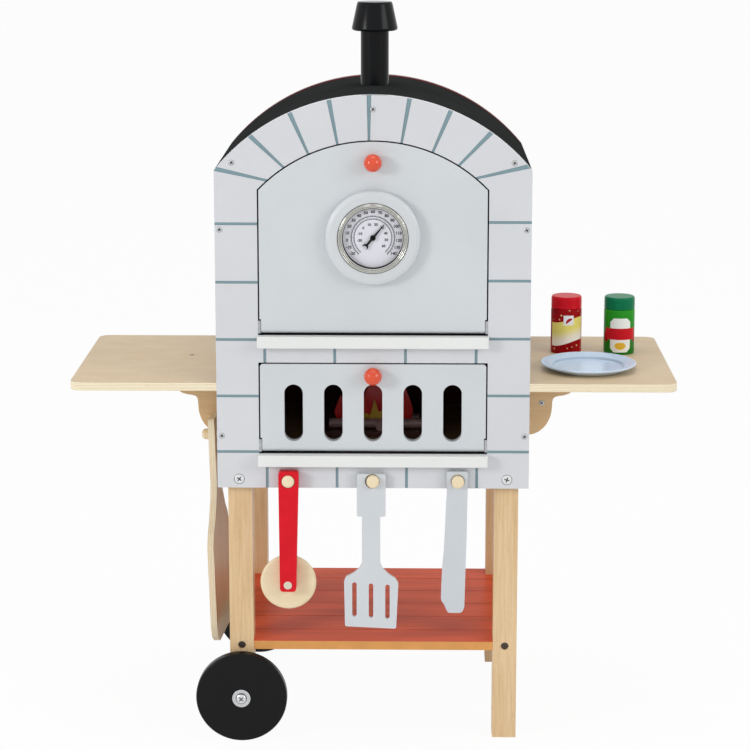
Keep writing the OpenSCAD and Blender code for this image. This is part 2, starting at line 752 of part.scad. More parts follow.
module upper_knob() { color([0.9, 0.37, 0.23]) knob(up_knob_z); }
module lower_knob() { color([0.9, 0.37, 0.23]) knob(low_knob_z); }

module turned(prof, n = 96) {
  translate([0, y0, gauge_z]) rotate([90, 0, 0]) rotate_extrude($fn = n) polygon(prof);
}

module gauge_ring() {
  r = ring_d / 2;
  ri = bezel_d / 2 - 2;
  color([0.88, 0.885, 0.9]) turned([[ri, 0], [r - 1.2, 0], [r, 1.2], [r, ring_t - 5],
    [r - 0.7, ring_t - 2.6], [r - 2.4, ring_t - 0.7], [r - 5, ring_t],
    [bezel_d / 2 + 0.4, ring_t], [bezel_d / 2 + 0.4, ring_t - 3], [ri, ring_t - 3]]);
}

module gauge_bezel() {
  b = bezel_d / 2;
  d = dial_d / 2;
  color([0.85, 0.86, 0.88]) turned([[d, 4.4], [b - 2.4, 4.4], [b - 2.4, ring_t - 3],
    [b, ring_t - 3], [b, ring_t + 0.2], [b - 1.2, ring_t + 1.3], [b - 3, ring_t + 1.6],
    [d + 1, ring_t + 0.2], [d, ring_t - 1]]);
}

module gauge_dial() {
  color([0.93, 0.935, 0.94]) turned([[0, 0], [bezel_d / 2 - 2.4, 0], [bezel_d / 2 - 2.4, 4.4],
    [dial_d / 2, 4.4], [dial_d / 2, dial_y], [1.6 + run_c, dial_y], [1.6 + run_c, 1], [0, 1]]);
}

module gauge_needle() {
  color([0.1, 0.1, 0.1]) {
    translate([0, y0 - dial_y - 1.6, gauge_z]) rotate([90, 0, 0]) linear_extrude(1.2)
      rotate(-needle_a) union() {
        polygon([[-1.6, -2], [-0.5, 20], [0, 22.6], [0.5, 20], [1.6, -2]]);
        polygon([[-1.6, 2], [-1.1, -12], [1.1, -12], [1.6, 2]]);
        difference() {
          translate([0, -14.4]) circle(3.7, $fn = 24);
          translate([0, -16.4]) circle(3.1, $fn = 24);
        }
        circle(3.4, $fn = 32);
      }
    rod_y(0, gauge_z, 1.6, -dial_y - 1.6 - eps, -1.4);
    rod_y(0, gauge_z, 2.6, -dial_y - 3.6, -dial_y - 2.8 + eps);
  }
}

// ---- fire ----------------------------------------------------------------------------

module fire_base() {
  color([0.25, 0.12, 0.09]) slab(84, 150) rounded(-66, sill_low_z, 70, sill_low_z + 7, 2);
}

module fire_logs() {
  z = sill_low_z + 7;
  color([0.45, 0.36, 0.36]) {
    rod_x(104, z + 6.2, 6.2, -58, 64, 20);
    rod_x(136, z + 6.2, 6.2, -50, 58, 20);
    difference() {
      rod_y(8, z + 6.2, 6.2, 86, 97.2, 20);
      rod_x(104, z + 6.2, 6.8, -60, 66, 20);
    }
  }
}

module red_flame() {
  z = sill_low_z + 7;
  color([0.72, 0.08, 0.07]) slab(117, 125) polygon([[-46, z], [-52, z + 18], [-44, z + 40],
    [-36, z + 28], [-26, z + 52], [-14, z + 40], [-2, z + 66], [10, z + 46], [22, z + 58],
    [30, z + 40], [40, z + 50], [50, z + 22], [46, z]]);
}

module yellow_flame() {
  z = sill_low_z + 7;
  color([0.85, 0.68, 0.15]) slab(112, 117) polygon([[-16, z], [-20, z + 10], [-12, z + 18],
    [-6, z + 14], [0, z + 36], [6, z + 18], [12, z + 22], [18, z + 9], [15, z]]);
}

// ---- cutter, spatula, knife and peel -------------------------------------------------

cut_x = -peg_pitch;
cut_z = 208;
cut_y = -0.6;

module cutter_handle() {
  color([0.82, 0.13, 0.16]) difference() {
    slab(cut_y - handle_t, cut_y) difference() {
      hull() {
        for (s = [-1, 1]) translate([cut_x + 0.6 + s * 8.6, peg_z + 8.5])
          circle(4, $fn = 24);
        for (s = [-1, 1]) translate([cut_x - 0.8 + s * 6.1, cut_z - 4.5])
          circle(4, $fn = 24);
      }
      translate([cut_x, peg_z]) circle(peg_d / 2 + 0.6, $fn = 48);
    }
    rod_y(cut_x - 1, cut_z, 3, cut_y - handle_t - 1, cut_y + 1, 32);
  }
}

module cutter_wheel() {
  color([0.87, 0.82, 0.69]) difference() {
    translate([cut_x - 1, y0 + cut_y + 0.4 + cut_wheel_t, cut_z]) rotate([90, 0, 0])
      rotate_extrude($fn = 72) polygon([[0, 0], [32.6, 0], [35, 2], [35, cut_wheel_t - 2],
        [32.6, cut_wheel_t], [0, cut_wheel_t]]);
    rod_y(cut_x - 1, cut_z, 2.95 + run_c, cut_y - 1, cut_y + 10, 32);
  }
}

module cutter_rivet() {
  color([0.85, 0.82, 0.76]) translate([cut_x - 1, y0, cut_z]) rotate([90, 0, 0])
    rotate_extrude($fn = 32) {
      f = -cut_y + handle_t;
      b = -cut_y - 0.4 - cut_wheel_t;
      polygon([[0, b - 2], [5, b - 2], [5, b - 0.4], [2.95, b - 0.4], [2.95, f], [5.2, f],
               [5, f + 1], [4, f + 1.6], [2.2, f + 1.7], [2.2, f + 1], [0, f + 1]]);
    }
}

module spatula() {
  color([0.81, 0.83, 0.84]) slab(-flat_t - 3, -3) translate([0, peg_z]) difference() {
    offset(2.4, $fn = 24) offset(-2.4) union() {
      translate([-20, -45.5]) square([35.8, 54.6]);
      polygon([[-13.7, -41.5], [-13.7, -105.5], [-17, -112.5], [-24, -118.5],
               [-33.5, -123.5], [-36, -129.5], [-35, -187.9], [29, -190.9], [31.8, -132.5],
               [28, -125.5], [19, -119.5], [12, -112.5], [9.1, -105.5], [9.1, -41.5]]);
    }
    translate([-0.9, -0.3]) circle(peg_d / 2 + 1.4, $fn = 48);
    for (p = [[-23.1, -153.1], [-2.4, -154.5], [18.2, -155.9]]) hull()
      for (s = [-1, 1]) translate([p[0], p[1] + s * 19.8]) circle(2.8, $fn = 16);
  }
}

module knife() {
  color([0.81, 0.83, 0.84]) slab(-flat_t - 3, -3) translate([peg_pitch, peg_z]) difference() {
    offset(1.6, $fn = 24) offset(-1.6) polygon([[-12.4, 12.3], [-13.9, 9.6], [-13.5, -13.9],
      [-14.5, -34.2], [-15.4, -60.6], [-17, -91.8], [-18.5, -107.4], [-19.5, -130.7],
      [-20.1, -151], [-19, -154.9], [-16.4, -158], [-14.8, -161.9], [-12, -168.1],
      [-9.7, -169.7], [3.6, -169.7], [7, -167.8], [9.2, -161.9], [9.5, -146.3],
      [10.3, -115.2], [11.4, -76.2], [11.8, -45.2], [12.3, -13.9], [12.6, 9.6], [11, 12.3]]);
    circle(peg_d / 2 + 0.9, $fn = 48);
  }
}

// Outline of the peel in its own plane: u along its width, v up, the hole at (0, 0).
module peel_outline() {
  offset(4, $fn = 24) offset(-4) union() {
    translate([-18, -80]) square([36, 104]);
    polygon([[-18, -56], [-18, -62], [-24, -80], [-40, -104], [-54, -118], [-62.5, -133],
             [-62.5, -240], [-57, -256], [-44, -265], [44, -265], [57, -256], [62.5, -240],
             [62.5, -133], [54, -118], [40, -104], [24, -80], [18, -62], [18, -56]]);
  }
}

module peel() {
  t = 8.5;
  color([0.88, 0.8, 0.64]) translate([-half_w - 15.6, y0 + peel_y, peel_z])
    rotate([0, 0, -peel_yaw]) rotate([0, -peel_lean, 0])
    translate([-t / 2, 0, 0]) rotate([90, 0, 90]) linear_extrude(t) difference() {
      peel_outline();
      circle(7.9, $fn = 48);
    }
}

// ---- jars and plate ------------------------------------------------------------------

cap_split = 59;

module turned_at(p, z, prof, n = 56) {
  translate([p[0], y0 + p[1], z]) rotate_extrude($fn = n) polygon(prof);
}

module jar_body(p) {
  r = jar_d / 2;
  turned_at(p, side_z, [[0, 0], [r - 1.2, 0], [r, 1.2], [r, cap_split - 1.4],
    [r - 1.4, cap_split - 0.4], [r - 1.4, cap_split], [0, cap_split]]);
}

module jar_cap(p) {
  r = jar_d / 2;
  turned_at(p, side_z, [[0, cap_split], [r - 1.4, cap_split], [r - 0.2, cap_split + 1],
    [r - 0.2, jar_h - 2.4], [r - 1, jar_h - 0.7], [r - 2.8, jar_h], [0, jar_h]]);
}

module red_jar() { color([0.6, 0.06, 0.08]) jar_body(red_at); }
module red_jar_cap() { color([0.82, 0.05, 0.1]) jar_cap(red_at); }
module green_jar() { color([0.2, 0.5, 0.12]) jar_body(green_at); }
module green_jar_cap() { color([0.02, 0.42, 0.27]) jar_cap(green_at); }

module plate() {
  r = plate_d / 2;
  color([0.73, 0.8, 0.87]) turned_at(plate_at, side_z, [[0, 0], [44, 0], [48, 1.4],
    [r - 3, 6], [r, 7.4], [r, 9], [r - 1, 9.6], [r - 3, 9.2], [46, 6.2], [43.4, 3.2],
    [41, 2.6], [0, 2.6]], 96);
}

// ---- nodes ---------------------------------------------------------------------------

front_panel();
back_panel();
left_side_panel();
right_side_panel();
roof();
ridge_batten();
eave_battens();
oven_floor();
fire_floor();
upper_ledge();
lower_ledge();
front_left_leg();
front_right_leg();
rear_left_leg();
rear_right_leg();
lower_shelf();
left_shelf();
right_shelf();
left_bracket();
right_bracket();
chimney_pipe();
chimney_cap();
utensil_pegs();
peel_peg();
panel_screws();
frame_bolts();
rear_bolts();
leg_bolts();
bracket_screw();
shelf_screws();
hinge_pivots();
door_catches();
axle_bolts();
axle_spacers();
axle_washers();
fire_base();
fire_logs();
red_flame();
yellow_flame();
upper_door();
upper_knob();
gauge_ring();
gauge_bezel();
gauge_dial();
gauge_needle();
lower_door();
lower_knob();
front_wheel();
rear_wheel();
cutter_handle();
cutter_wheel();
cutter_rivet();
spatula();
knife();
peel();
red_jar();
red_jar_cap();
green_jar();
green_jar_cap();
plate();
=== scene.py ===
import json
import math

import bmesh
import bpy
from bpy.props import FloatProperty, FloatVectorProperty, IntProperty, PointerProperty
from mathutils import Matrix, Vector

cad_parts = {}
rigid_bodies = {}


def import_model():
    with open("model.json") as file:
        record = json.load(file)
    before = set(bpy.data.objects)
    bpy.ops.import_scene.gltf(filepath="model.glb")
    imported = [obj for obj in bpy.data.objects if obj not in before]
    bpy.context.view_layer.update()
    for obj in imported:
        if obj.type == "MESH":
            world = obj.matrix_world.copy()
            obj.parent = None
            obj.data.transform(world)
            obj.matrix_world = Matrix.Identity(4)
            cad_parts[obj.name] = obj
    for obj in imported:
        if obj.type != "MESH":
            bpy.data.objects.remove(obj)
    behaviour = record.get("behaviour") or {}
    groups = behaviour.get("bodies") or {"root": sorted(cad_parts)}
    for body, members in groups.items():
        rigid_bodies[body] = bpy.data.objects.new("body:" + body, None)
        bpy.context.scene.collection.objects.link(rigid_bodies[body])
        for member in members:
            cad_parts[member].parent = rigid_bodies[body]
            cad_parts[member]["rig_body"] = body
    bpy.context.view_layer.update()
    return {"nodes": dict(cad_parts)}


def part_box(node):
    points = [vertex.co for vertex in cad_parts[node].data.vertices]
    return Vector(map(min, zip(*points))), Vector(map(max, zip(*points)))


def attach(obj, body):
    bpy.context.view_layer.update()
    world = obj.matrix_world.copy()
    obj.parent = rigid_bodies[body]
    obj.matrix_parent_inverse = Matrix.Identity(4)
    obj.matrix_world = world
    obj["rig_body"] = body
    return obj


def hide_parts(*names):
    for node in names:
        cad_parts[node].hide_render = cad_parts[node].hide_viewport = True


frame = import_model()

bl_info = {
    "name": "Toy brick oven",
    "version": (1, 0, 0),
    "blender": (4, 5, 0),
    "location": "View3D > Sidebar > Toy oven",
    "description": "Builds the finished pieces of a toy brick oven around its CAD frame",
    "category": "Object",
}

MM = 0.001
# Depths are measured back from the front panel's face.
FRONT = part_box("front_panel")[0].y
# Both printed arcs of the dial end this many degrees from the top.
ARC_END = 139


def tone(red, green, blue):
    """A colour as it looks on a screen, 0 to 255, in the linear values that shaders use."""

    def linear(c):
        c /= 255
        return c / 12.92 if c <= 0.04045 else ((c + 0.055) / 1.055) ** 2.4

    return (linear(red), linear(green), linear(blue), 1.0)


def colour_of(title, text, *screen):
    """A colour property with its default given as it looks on a screen."""
    return FloatVectorProperty(name=title, description=text, subtype="COLOR", size=4,
                               min=0, max=1, default=tone(*screen))


def length_of(title, text, millimetres):
    """A length property with its default in millimetres."""
    return FloatProperty(name=title, description=text, subtype="DISTANCE", unit="LENGTH",
                         min=0, default=millimetres * MM, precision=4)


class OvenSizes(bpy.types.PropertyGroup):
    """Sizes that the CAD frame leaves to the finish."""

    board_edge: length_of("Painted edge", "Rounding of the painted boards' edges", 0.5)
    door_edge: length_of("Door edge", "Rounding of the doors' edges", 0.9)
    ledge_edge: length_of("Ledge edge", "Rounding of the two white ledges", 1.4)
    wood_edge: length_of("Wood edge", "Rounding of the bare wooden pieces", 1.3)
    ply_edge: length_of("Ply edge", "Rounding of the side shelves' edges", 1.6)
    metal_edge: length_of("Metal edge", "Rounding of screws, bolts and washers", 0.15)
    outer_digit: length_of("Outer number height", "Height of the dial's outer numbers", 3.6)
    inner_digit: length_of("Inner number height", "Height of the dial's inner numbers", 3.1)
    outer_ticks: IntProperty(name="Outer ticks", description="Marks on the dial's outer arc",
                             default=81, min=5)
    inner_ticks: IntProperty(name="Inner ticks", description="Marks on the dial's inner arc",
                             default=57, min=5)


class OvenColours(bpy.types.PropertyGroup):
    """Colours of the finished pieces."""

    panel: colour_of("Panel", "Paint of the front and side panels", 212, 214, 218)
    door: colour_of("Doors", "Paint of both doors", 208, 213, 216)
    joint: colour_of("Brick joints", "Paint in the grooves between the bricks", 128, 154, 162)
    ledge: colour_of("Ledges", "Paint of the two ledges", 231, 233, 231)
    roof: colour_of("Roof", "Paint of the bent roof board", 52, 54, 54)
    chimney: colour_of("Chimney", "Gloss paint of the chimney", 18, 19, 21)
    back: colour_of("Back", "Paint of the back panel", 96, 34, 36)
    shelf_red: colour_of("Lower shelf", "Paint of the lower shelf", 236, 99, 62)
    shelf_line: colour_of("Plank lines", "Lines between the lower shelf's planks", 120, 40, 26)
    shelf_edge: colour_of("Lower shelf edge", "Front edge of the lower shelf", 222, 158, 88)
    beech: colour_of("Beech", "Bare wood of the legs", 231, 202, 159)
    beech_dark: colour_of("Beech grain", "Darker grain of the legs", 207, 170, 121)
    ply: colour_of("Ply face", "Top of the side shelves", 218, 196, 164)
    ply_dark: colour_of("Ply grain", "Darker grain of the side shelves", 208, 182, 144)
    ply_edge: colour_of("Ply edge", "Light layers of the side shelves' edges", 246, 236, 208)
    peg: colour_of("Pegs", "Pale wood of the pegs and cutter wheel", 242, 226, 192)
    knob: colour_of("Knobs", "Gloss paint of the two ball knobs", 226, 80, 46)
    wheel: colour_of("Wheels", "Paint of the two wheels", 26, 26, 27)
    ring: colour_of("Thermometer ring", "Paint of the turned ring", 208, 212, 215)
    dial: colour_of("Dial", "Face of the thermometer", 226, 226, 234)
    cutter: colour_of("Cutter handle", "Gloss paint of the cutter's handle", 220, 26, 40)
    spatula: colour_of("Spatula", "Paint of the spatula", 208, 213, 217)
    knife: colour_of("Knife", "Paint of the knife", 204, 209, 214)
    plate: colour_of("Plate", "Paint of the plate", 208, 228, 250)
    jar_red: colour_of("Red jar", "Body of the red jar", 152, 6, 14)
    jar_red_cap: colour_of("Red cap", "Cap of the red jar", 214, 14, 34)
    jar_green: colour_of("Green jar", "Body of the green jar", 40, 140, 34)
    jar_green_cap: colour_of("Green cap", "Cap of the green jar", 0, 122, 78)


# ---- shaders -------------------------------------------------------------------------


class Term:
    """A number in a shader. Sums, products and powers of terms add Math nodes."""

    def __init__(self, finish, socket):
        self.finish, self.socket = finish, socket

    def maths(self, operation, *values):
        return self.finish.node("ShaderNodeMath", {"operation": operation},
                                dict(enumerate(values)))

    def __add__(self, other):
        return self.maths("ADD", self, other)

    def __radd__(self, other):
        return self.maths("ADD", other, self)

    def __sub__(self, other):
        return self.maths("SUBTRACT", self, other)

    def __rsub__(self, other):
        return self.maths("SUBTRACT", other, self)

    def __mul__(self, other):
        return self.maths("MULTIPLY", self, other)

    def __rmul__(self, other):
        return self.maths("MULTIPLY", other, self)

    def __truediv__(self, other):
        return self.maths("DIVIDE", self, other)

    def __pow__(self, other):
        return self.maths("POWER", self, other)

    def __abs__(self):
        return self.maths("ABSOLUTE", self)

    def ramp(self, low, high):
        """0 at low, 1 at high, smooth between them."""
        return self.finish.node("ShaderNodeMapRange", {"interpolation_type": "SMOOTHSTEP"},
                                {0: self, 1: low, 2: high, 3: 0.0, 4: 1.0})


class Finish:
    """A material being made. Object coordinates are the frame's, in metres."""

    made = {}

    def __init__(self, name):
        self.material = bpy.data.materials.new(name)
        self.material.use_nodes = True
        self.tree = self.material.node_tree
        self.tree.nodes.clear()
        self.place = self.node("ShaderNodeTexCoord", out="Object")

    def node(self, kind, settings=None, values=None, out=0):
        """Adds a node with its settings, values and links, and gives one of its outputs."""
        made = self.tree.nodes.new(kind)
        for key, value in (settings or {}).items():
            setattr(made, key, value)
        for key, value in (values or {}).items():
            if isinstance(value, Term):
                self.tree.links.new(value.socket, made.inputs[key])
            else:
                made.inputs[key].default_value = value
        return Term(self, made.outputs[out]) if len(made.outputs) else made

    def mapped(self, scale=(1, 1, 1), shift=(0, 0, 0)):
        return self.node("ShaderNodeMapping", {},
                         {"Vector": self.place, "Scale": scale, "Location": shift})

    def maths_of(self, operation, *values):
        return self.node("ShaderNodeMath", {"operation": operation}, dict(enumerate(values)))

    def noise(self, scale, detail=2.0, rough=0.5, at=None, twist=0.0):
        return self.node("ShaderNodeTexNoise", {},
                         {"Vector": at or self.place, "Scale": scale, "Detail": detail,
                          "Roughness": rough, "Distortion": twist})

    def along(self, axis, at=None):
        """One coordinate of the place, or of the mapped place given."""
        return self.node("ShaderNodeSeparateXYZ", {}, {0: at or self.place}, out=axis)

    def mix(self, share, first, second):
        return self.node("ShaderNodeMix", {"data_type": "RGBA"}, {0: share, 6: first, 7: second},
                         out=2)

    def done(self, colour, rough, height=None, depth=0.02, **more):
        """Ends the material: depth is the bump's height in millimetres."""
        values = {"Base Color": colour, "Roughness": rough}
        values.update({key.replace("_", " "): value for key, value in more.items()})
        if height is not None:
            values["Normal"] = self.node("ShaderNodeBump", {},
                                         {"Strength": 1.0, "Distance": depth * MM,
                                          "Height": height})
        surface = self.node("ShaderNodeBsdfPrincipled", {}, values)
        self.node("ShaderNodeOutputMaterial", {}, {"Surface": surface})
        Finish.made[self.material.name] = self.material
        return self.material


def known(name, make, *values, **more):
    """The material of that name, made once."""
    return Finish.made.get(name) or make(Finish(name), *values, **more)


def dimmed(colour, share):
    """A share of a colour's light."""
    return tuple(c * share for c in colour[:3]) + (1.0,)


def paint(finish, colour, rough=0.34, coat=0.25, patch=0.965):
    """Sprayed paint on board: faint uneven tone, fine orange peel, gloss that varies."""
    cloud = finish.noise(9, 3, 0.55)
    peel = finish.noise(420, 2, 0.5)
    speck = finish.noise(2600, 1, 0.5)
    tint = finish.mix(cloud.ramp(0.3, 0.7), dimmed(colour, patch), tuple(colour))
    tint = finish.mix((speck.ramp(0.62, 0.75)) * 0.25, tint, dimmed(colour, 0.9))
    return finish.done(tint, cloud * 0.12 + (rough - 0.06), peel + speck * 0.3, 0.03,
                       Coat_Weight=coat, Coat_Roughness=0.12)


def gloss(finish, colour, rough=0.16, coat=0.2, shine=0.3):
    """Lacquer with the slight waves of a dipped coat and a little uneven gloss."""
    wave = finish.noise(55, 2, 0.5)
    fine = finish.noise(900, 2, 0.6)
    tint = finish.mix(wave.ramp(0.3, 0.75), dimmed(colour, 0.92), tuple(colour))
    return finish.done(tint, fine * 0.1 + (rough - 0.05), wave + fine * 0.08, 0.02,
                       Coat_Weight=coat, Coat_Roughness=0.08, Specular_IOR_Level=shine)


GRAIN = {"X": (0.05, 1, 1), "Y": (1, 0.05, 1), "Z": (1, 1, 0.05)}


def wood(finish, light, dark, grain="Z", figure=1.0, rough=0.5, shift=0.0):
    """Bare lacquered wood: broad bands, fine streaks and short flecks along the grain."""
    at = finish.mapped(GRAIN[grain], (shift, shift * 0.7, shift * 1.3))
    short = finish.mapped(tuple(0.22 if s < 1 else 1 for s in GRAIN[grain]))
    band = finish.noise(26, 3, 0.55, at, 0.6)
    streak = finish.noise(330, 3, 0.65, at)
    fleck = finish.noise(1150, 1, 0.5, short).ramp(0.64, 0.74)
    share = band.ramp(0.25, 0.75) * 0.5 + streak.ramp(0.3, 0.75) * 0.5
    tint = finish.mix(share * figure, tuple(light), tuple(dark))
    tint = finish.mix(fleck * 0.4, tint, dimmed(dark, 0.72))
    return finish.done(tint, streak * 0.15 + (rough - 0.07), streak - fleck * 0.6, 0.035,
                       Coat_Weight=0.12, Coat_Roughness=0.3)


def layers(finish, light, dark, across="Z", pitch=1.5):
    """The edge of plywood: thin layers, every second one darker."""
    at = finish.mapped(tuple(0.12 if axis != across else 1 for axis in "XYZ"))
    ripple = finish.noise(120, 2, 0.5, at)
    height = finish.along(across) * (1 / (pitch * MM)) + ripple * 0.5
    wave = finish.maths_of("SINE", height * math.tau) * 0.5 + 0.5
    fleck = finish.noise(900, 2, 0.6, at)
    tint = finish.mix(wave.ramp(0.45, 0.95) * 0.75, tuple(light), tuple(dark))
    tint = finish.mix(fleck.ramp(0.55, 0.8) * 0.35, tint, dimmed(dark, 0.85))
    return finish.done(tint, fleck * 0.15 + 0.45, wave * 0.4 + fleck, 0.03)


def ply_top(finish, light, dark, shift=0.0):
    """The face of plywood: soft blotches, a faint figure and short pores."""
    at = finish.mapped((0.45, 1, 1), (shift, shift, 0))
    blotch = finish.noise(34, 4, 0.62, at, 0.9)
    figure = finish.noise(90, 3, 0.6, finish.mapped((0.12, 1, 1), (shift, 0, 0)), 1.2)
    pore = finish.noise(900, 2, 0.6, finish.mapped((0.2, 1, 1))).ramp(0.6, 0.72)
    share = blotch.ramp(0.3, 0.7) * 0.5 + figure.ramp(0.35, 0.7) * 0.2
    tint = finish.mix(share, tuple(light), tuple(dark))
    tint = finish.mix(pore * 0.35, tint, dimmed(dark, 0.75))
    return finish.done(tint, blotch * 0.1 + 0.42, figure - pore * 0.5, 0.02,
                       Specular_IOR_Level=0.3)


def metal(finish, colour, rough=0.28, brush="X"):
    """Plated steel with fine brushing."""
    at = finish.mapped(tuple(0.06 if axis == brush else 1 for axis in "XYZ"))
    brushed = finish.noise(3000, 2, 0.6, at)
    cloud = finish.noise(300, 2, 0.5)
    tint = finish.mix(cloud.ramp(0.3, 0.8), dimmed(colour, 0.86), tuple(colour))
    return finish.done(tint, brushed * 0.2 + (rough - 0.1), brushed, 0.01, Metallic=1.0)


def chrome(finish, colour, centre, painted_reflection_rings):
    """Bright plated ring with dark rings at the given radii, which are painted reflections at
    its steps.
    """
    at = finish.mapped(shift=tuple(-c for c in centre))
    x, z = finish.along("X", at), finish.along("Z", at)
    reach = (x * x + z * z) ** 0.5
    cloud = finish.noise(200, 2, 0.5)
    tint = finish.mix(cloud.ramp(0.3, 0.8), dimmed(colour, 0.94), tuple(colour))
    # Painted reflection: a dark ring at each given radius and half width.
    for radius, half in painted_reflection_rings:
        away = abs(reach - radius * MM)
        tint = finish.mix(away.ramp(half * MM, half * 0.4 * MM) * 0.85, tint, tone(70, 66, 58))
    return finish.done(tint, cloud * 0.08 + 0.12, Metallic=1.0)


def screw_head(finish, colour, face, deep, way=1):
    """Plated head whose recess and rim, set back from its face, are painted dark as painted
    shade.
    """
    cloud = finish.noise(900, 2, 0.6)
    # Painted shade: the deeper a point lies below the head's face, the darker and less metallic
    # it is.
    low = ((finish.along("Y") - face) * way).ramp(deep * 0.35 * MM, deep * MM)
    tint = finish.mix(low, tuple(colour), dimmed(colour, 0.1))
    return finish.done(tint, cloud * 0.2 + 0.22, cloud, 0.01, Metallic=1.0 - low * 0.6)


# ---- shapes --------------------------------------------------------------------------


def new_piece(name, mesh, materials, body, nodes=()):
    """Makes a finished piece of the object and puts it on its CAD body."""
    piece = bpy.data.objects.new(name, mesh)
    bpy.context.scene.collection.objects.link(piece)
    mesh.materials.clear()
    for material in materials:
        mesh.materials.append(material)
    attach(piece, body)
    if nodes:
        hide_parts(*nodes)
    return piece


def evaluated(name, mesh, modifiers):
    """The mesh with its modifiers worked in, as a plain mesh."""
    helper = bpy.data.objects.new(name + "_helper", mesh)
    bpy.context.scene.collection.objects.link(helper)
    for kind, settings in modifiers:
        modifier = helper.modifiers.new(kind.title(), kind)
        for key, value in settings.items():
            setattr(modifier, key, value)
    graph = bpy.context.evaluated_depsgraph_get()
    result = bpy.data.meshes.new_from_object(helper.evaluated_get(graph), depsgraph=graph)
    bpy.data.objects.remove(helper)
    result.name = name
    return result


def solid_of(node):
    """The CAD node's mesh, with its loose triangles joined and its flat faces made one."""
    form = bmesh.new()
    form.from_mesh(frame["nodes"][node].data)
    bmesh.ops.remove_doubles(form, verts=form.verts, dist=2e-6)
    bmesh.ops.dissolve_limit(form, angle_limit=math.radians(0.4), verts=form.verts,
                             edges=form.edges)
    mesh = bpy.data.meshes.new(node + "_solid")
    for face in form.faces:
        face.smooth = True
    form.to_mesh(mesh)
    form.free()
    return mesh


def body_of(node):
    """The body that a CAD node belongs to."""
    return frame["nodes"][node]["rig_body"]


def softened(node, materials, width, segments=2, pick=None):
    """A piece in the place of a CAD node, with its edges rounded."""
    rounded = evaluated(node + "_rounded", solid_of(node), [
        ("BEVEL", {"width": width, "segments": segments, "limit_method": "ANGLE",
                   "angle_limit": math.radians(30), "use_clamp_overlap": True,
                   "miter_outer": "MITER_ARC"})])
    rounded.set_sharp_from_angle(angle=math.radians(50))
    mesh = evaluated(node + "_finished", rounded, [
        ("WEIGHTED_NORMAL", {"mode": "FACE_AREA", "weight": 100, "keep_sharp": True})])
    piece = new_piece(node + "_finished", mesh, materials, body_of(node), [node])
    if pick:
        for face in mesh.polygons:
            points = [mesh.vertices[v].co for v in face.vertices]
            face.material_index = pick(face.normal, points)
    return piece


def filleted(profile, radius=0.5, steps=4):
    """A profile with its corners rounded. A point with a third value has its own radius."""
    points = [profile[0][:2]]
    for before, corner, after in zip(profile, profile[1:], profile[2:]):
        r = corner[2] if len(corner) > 2 else radius
        c = Vector(corner[:2])
        a, b = Vector(before[:2]) - c, Vector(after[:2]) - c
        if r <= 0 or a.length < 1e-6 or b.length < 1e-6 or a.angle(b) > math.radians(172):
            points.append(tuple(c))
            continue
        cut = min(r / math.tan(a.angle(b) / 2), a.length * 0.48, b.length * 0.48)
        start, end = c + a.normalized() * cut, c + b.normalized() * cut
        for i in range(steps + 1):
            t = i / steps
            points.append(tuple(start * (1 - t) ** 2 + c * 2 * t * (1 - t) + end * t * t))
    points.append(profile[-1][:2])
    return points


def turned(name, profile, centre, toward="front", steps=96):
    """A turned mesh: the profile's points are (radius, height) in millimetres."""
    form = bmesh.new()
    if toward == "front":
        frame_of = Matrix(((1, 0, 0), (0, 0, -1), (0, 1, 0)))
    else:
        frame_of = Matrix.Identity(3)
    rings = []
    for radius, height in profile:
        count = 1 if radius < 1e-6 else steps
        ring = []
        for i in range(count):
            a = math.tau * i / steps
            point = Vector((radius * math.cos(a), radius * math.sin(a), height)) * MM
            ring.append(form.verts.new(frame_of @ point + Vector(centre)))
        rings.append(ring)
    closed = profile[0] == profile[-1]
    pairs = list(zip(rings, rings[1:]))
    if closed:
        for v in rings[-1]:
            form.verts.remove(v)
        pairs[-1] = (rings[-2], rings[0])
    for low, high in pairs:
        if len(low) == 1 and len(high) == 1:
            continue
        for i in range(steps):
            j = (i + 1) % steps
            if len(low) == 1:
                form.faces.new((low[0], high[i], high[j]))
            elif len(high) == 1:
                form.faces.new((low[i], high[0], low[j]))
            else:
                form.faces.new((low[i], high[i], high[j], low[j]))
    bmesh.ops.recalc_face_normals(form, faces=form.faces)
    for face in form.faces:
        face.smooth = True
    mesh = bpy.data.meshes.new(name)
    form.to_mesh(mesh)
    form.free()
    mesh.set_sharp_from_angle(angle=math.radians(38))
    return mesh


def islands(node):
    """(lowest corner, highest corner) of each separate solid of a CAD node, left to right."""
    form = bmesh.new()
    form.from_mesh(frame["nodes"][node].data)
    bmesh.ops.remove_doubles(form, verts=form.verts, dist=2e-6)
    left, boxes = set(form.verts), []
    while left:
        queue, group = [left.pop()], []
        while queue:
            v = queue.pop()
            group.append(v.co.copy())
            for edge in v.link_edges:
                other = edge.other_vert(v)
                if other in left:
                    left.remove(other)
                    queue.append(other)
        boxes.append((Vector(min(p[i] for p in group) for i in range(3)),
                      Vector(max(p[i] for p in group) for i in range(3))))
    form.free()
    return sorted(boxes, key=lambda box: (round(box[0].x, 4), round(box[0].z, 4)))


def node_tree(name, inputs):
    """A Geometry Nodes tree with a geometry in and out, and the inputs named."""
    tree = bpy.data.node_groups.new(name, "GeometryNodeTree")
    tree.interface.new_socket("Geometry", in_out="INPUT", socket_type="NodeSocketGeometry")
    tree.interface.new_socket("Geometry", in_out="OUTPUT", socket_type="NodeSocketGeometry")
    for title, kind in inputs:
        tree.interface.new_socket(title, in_out="INPUT", socket_type="NodeSocket" + kind)
    return tree


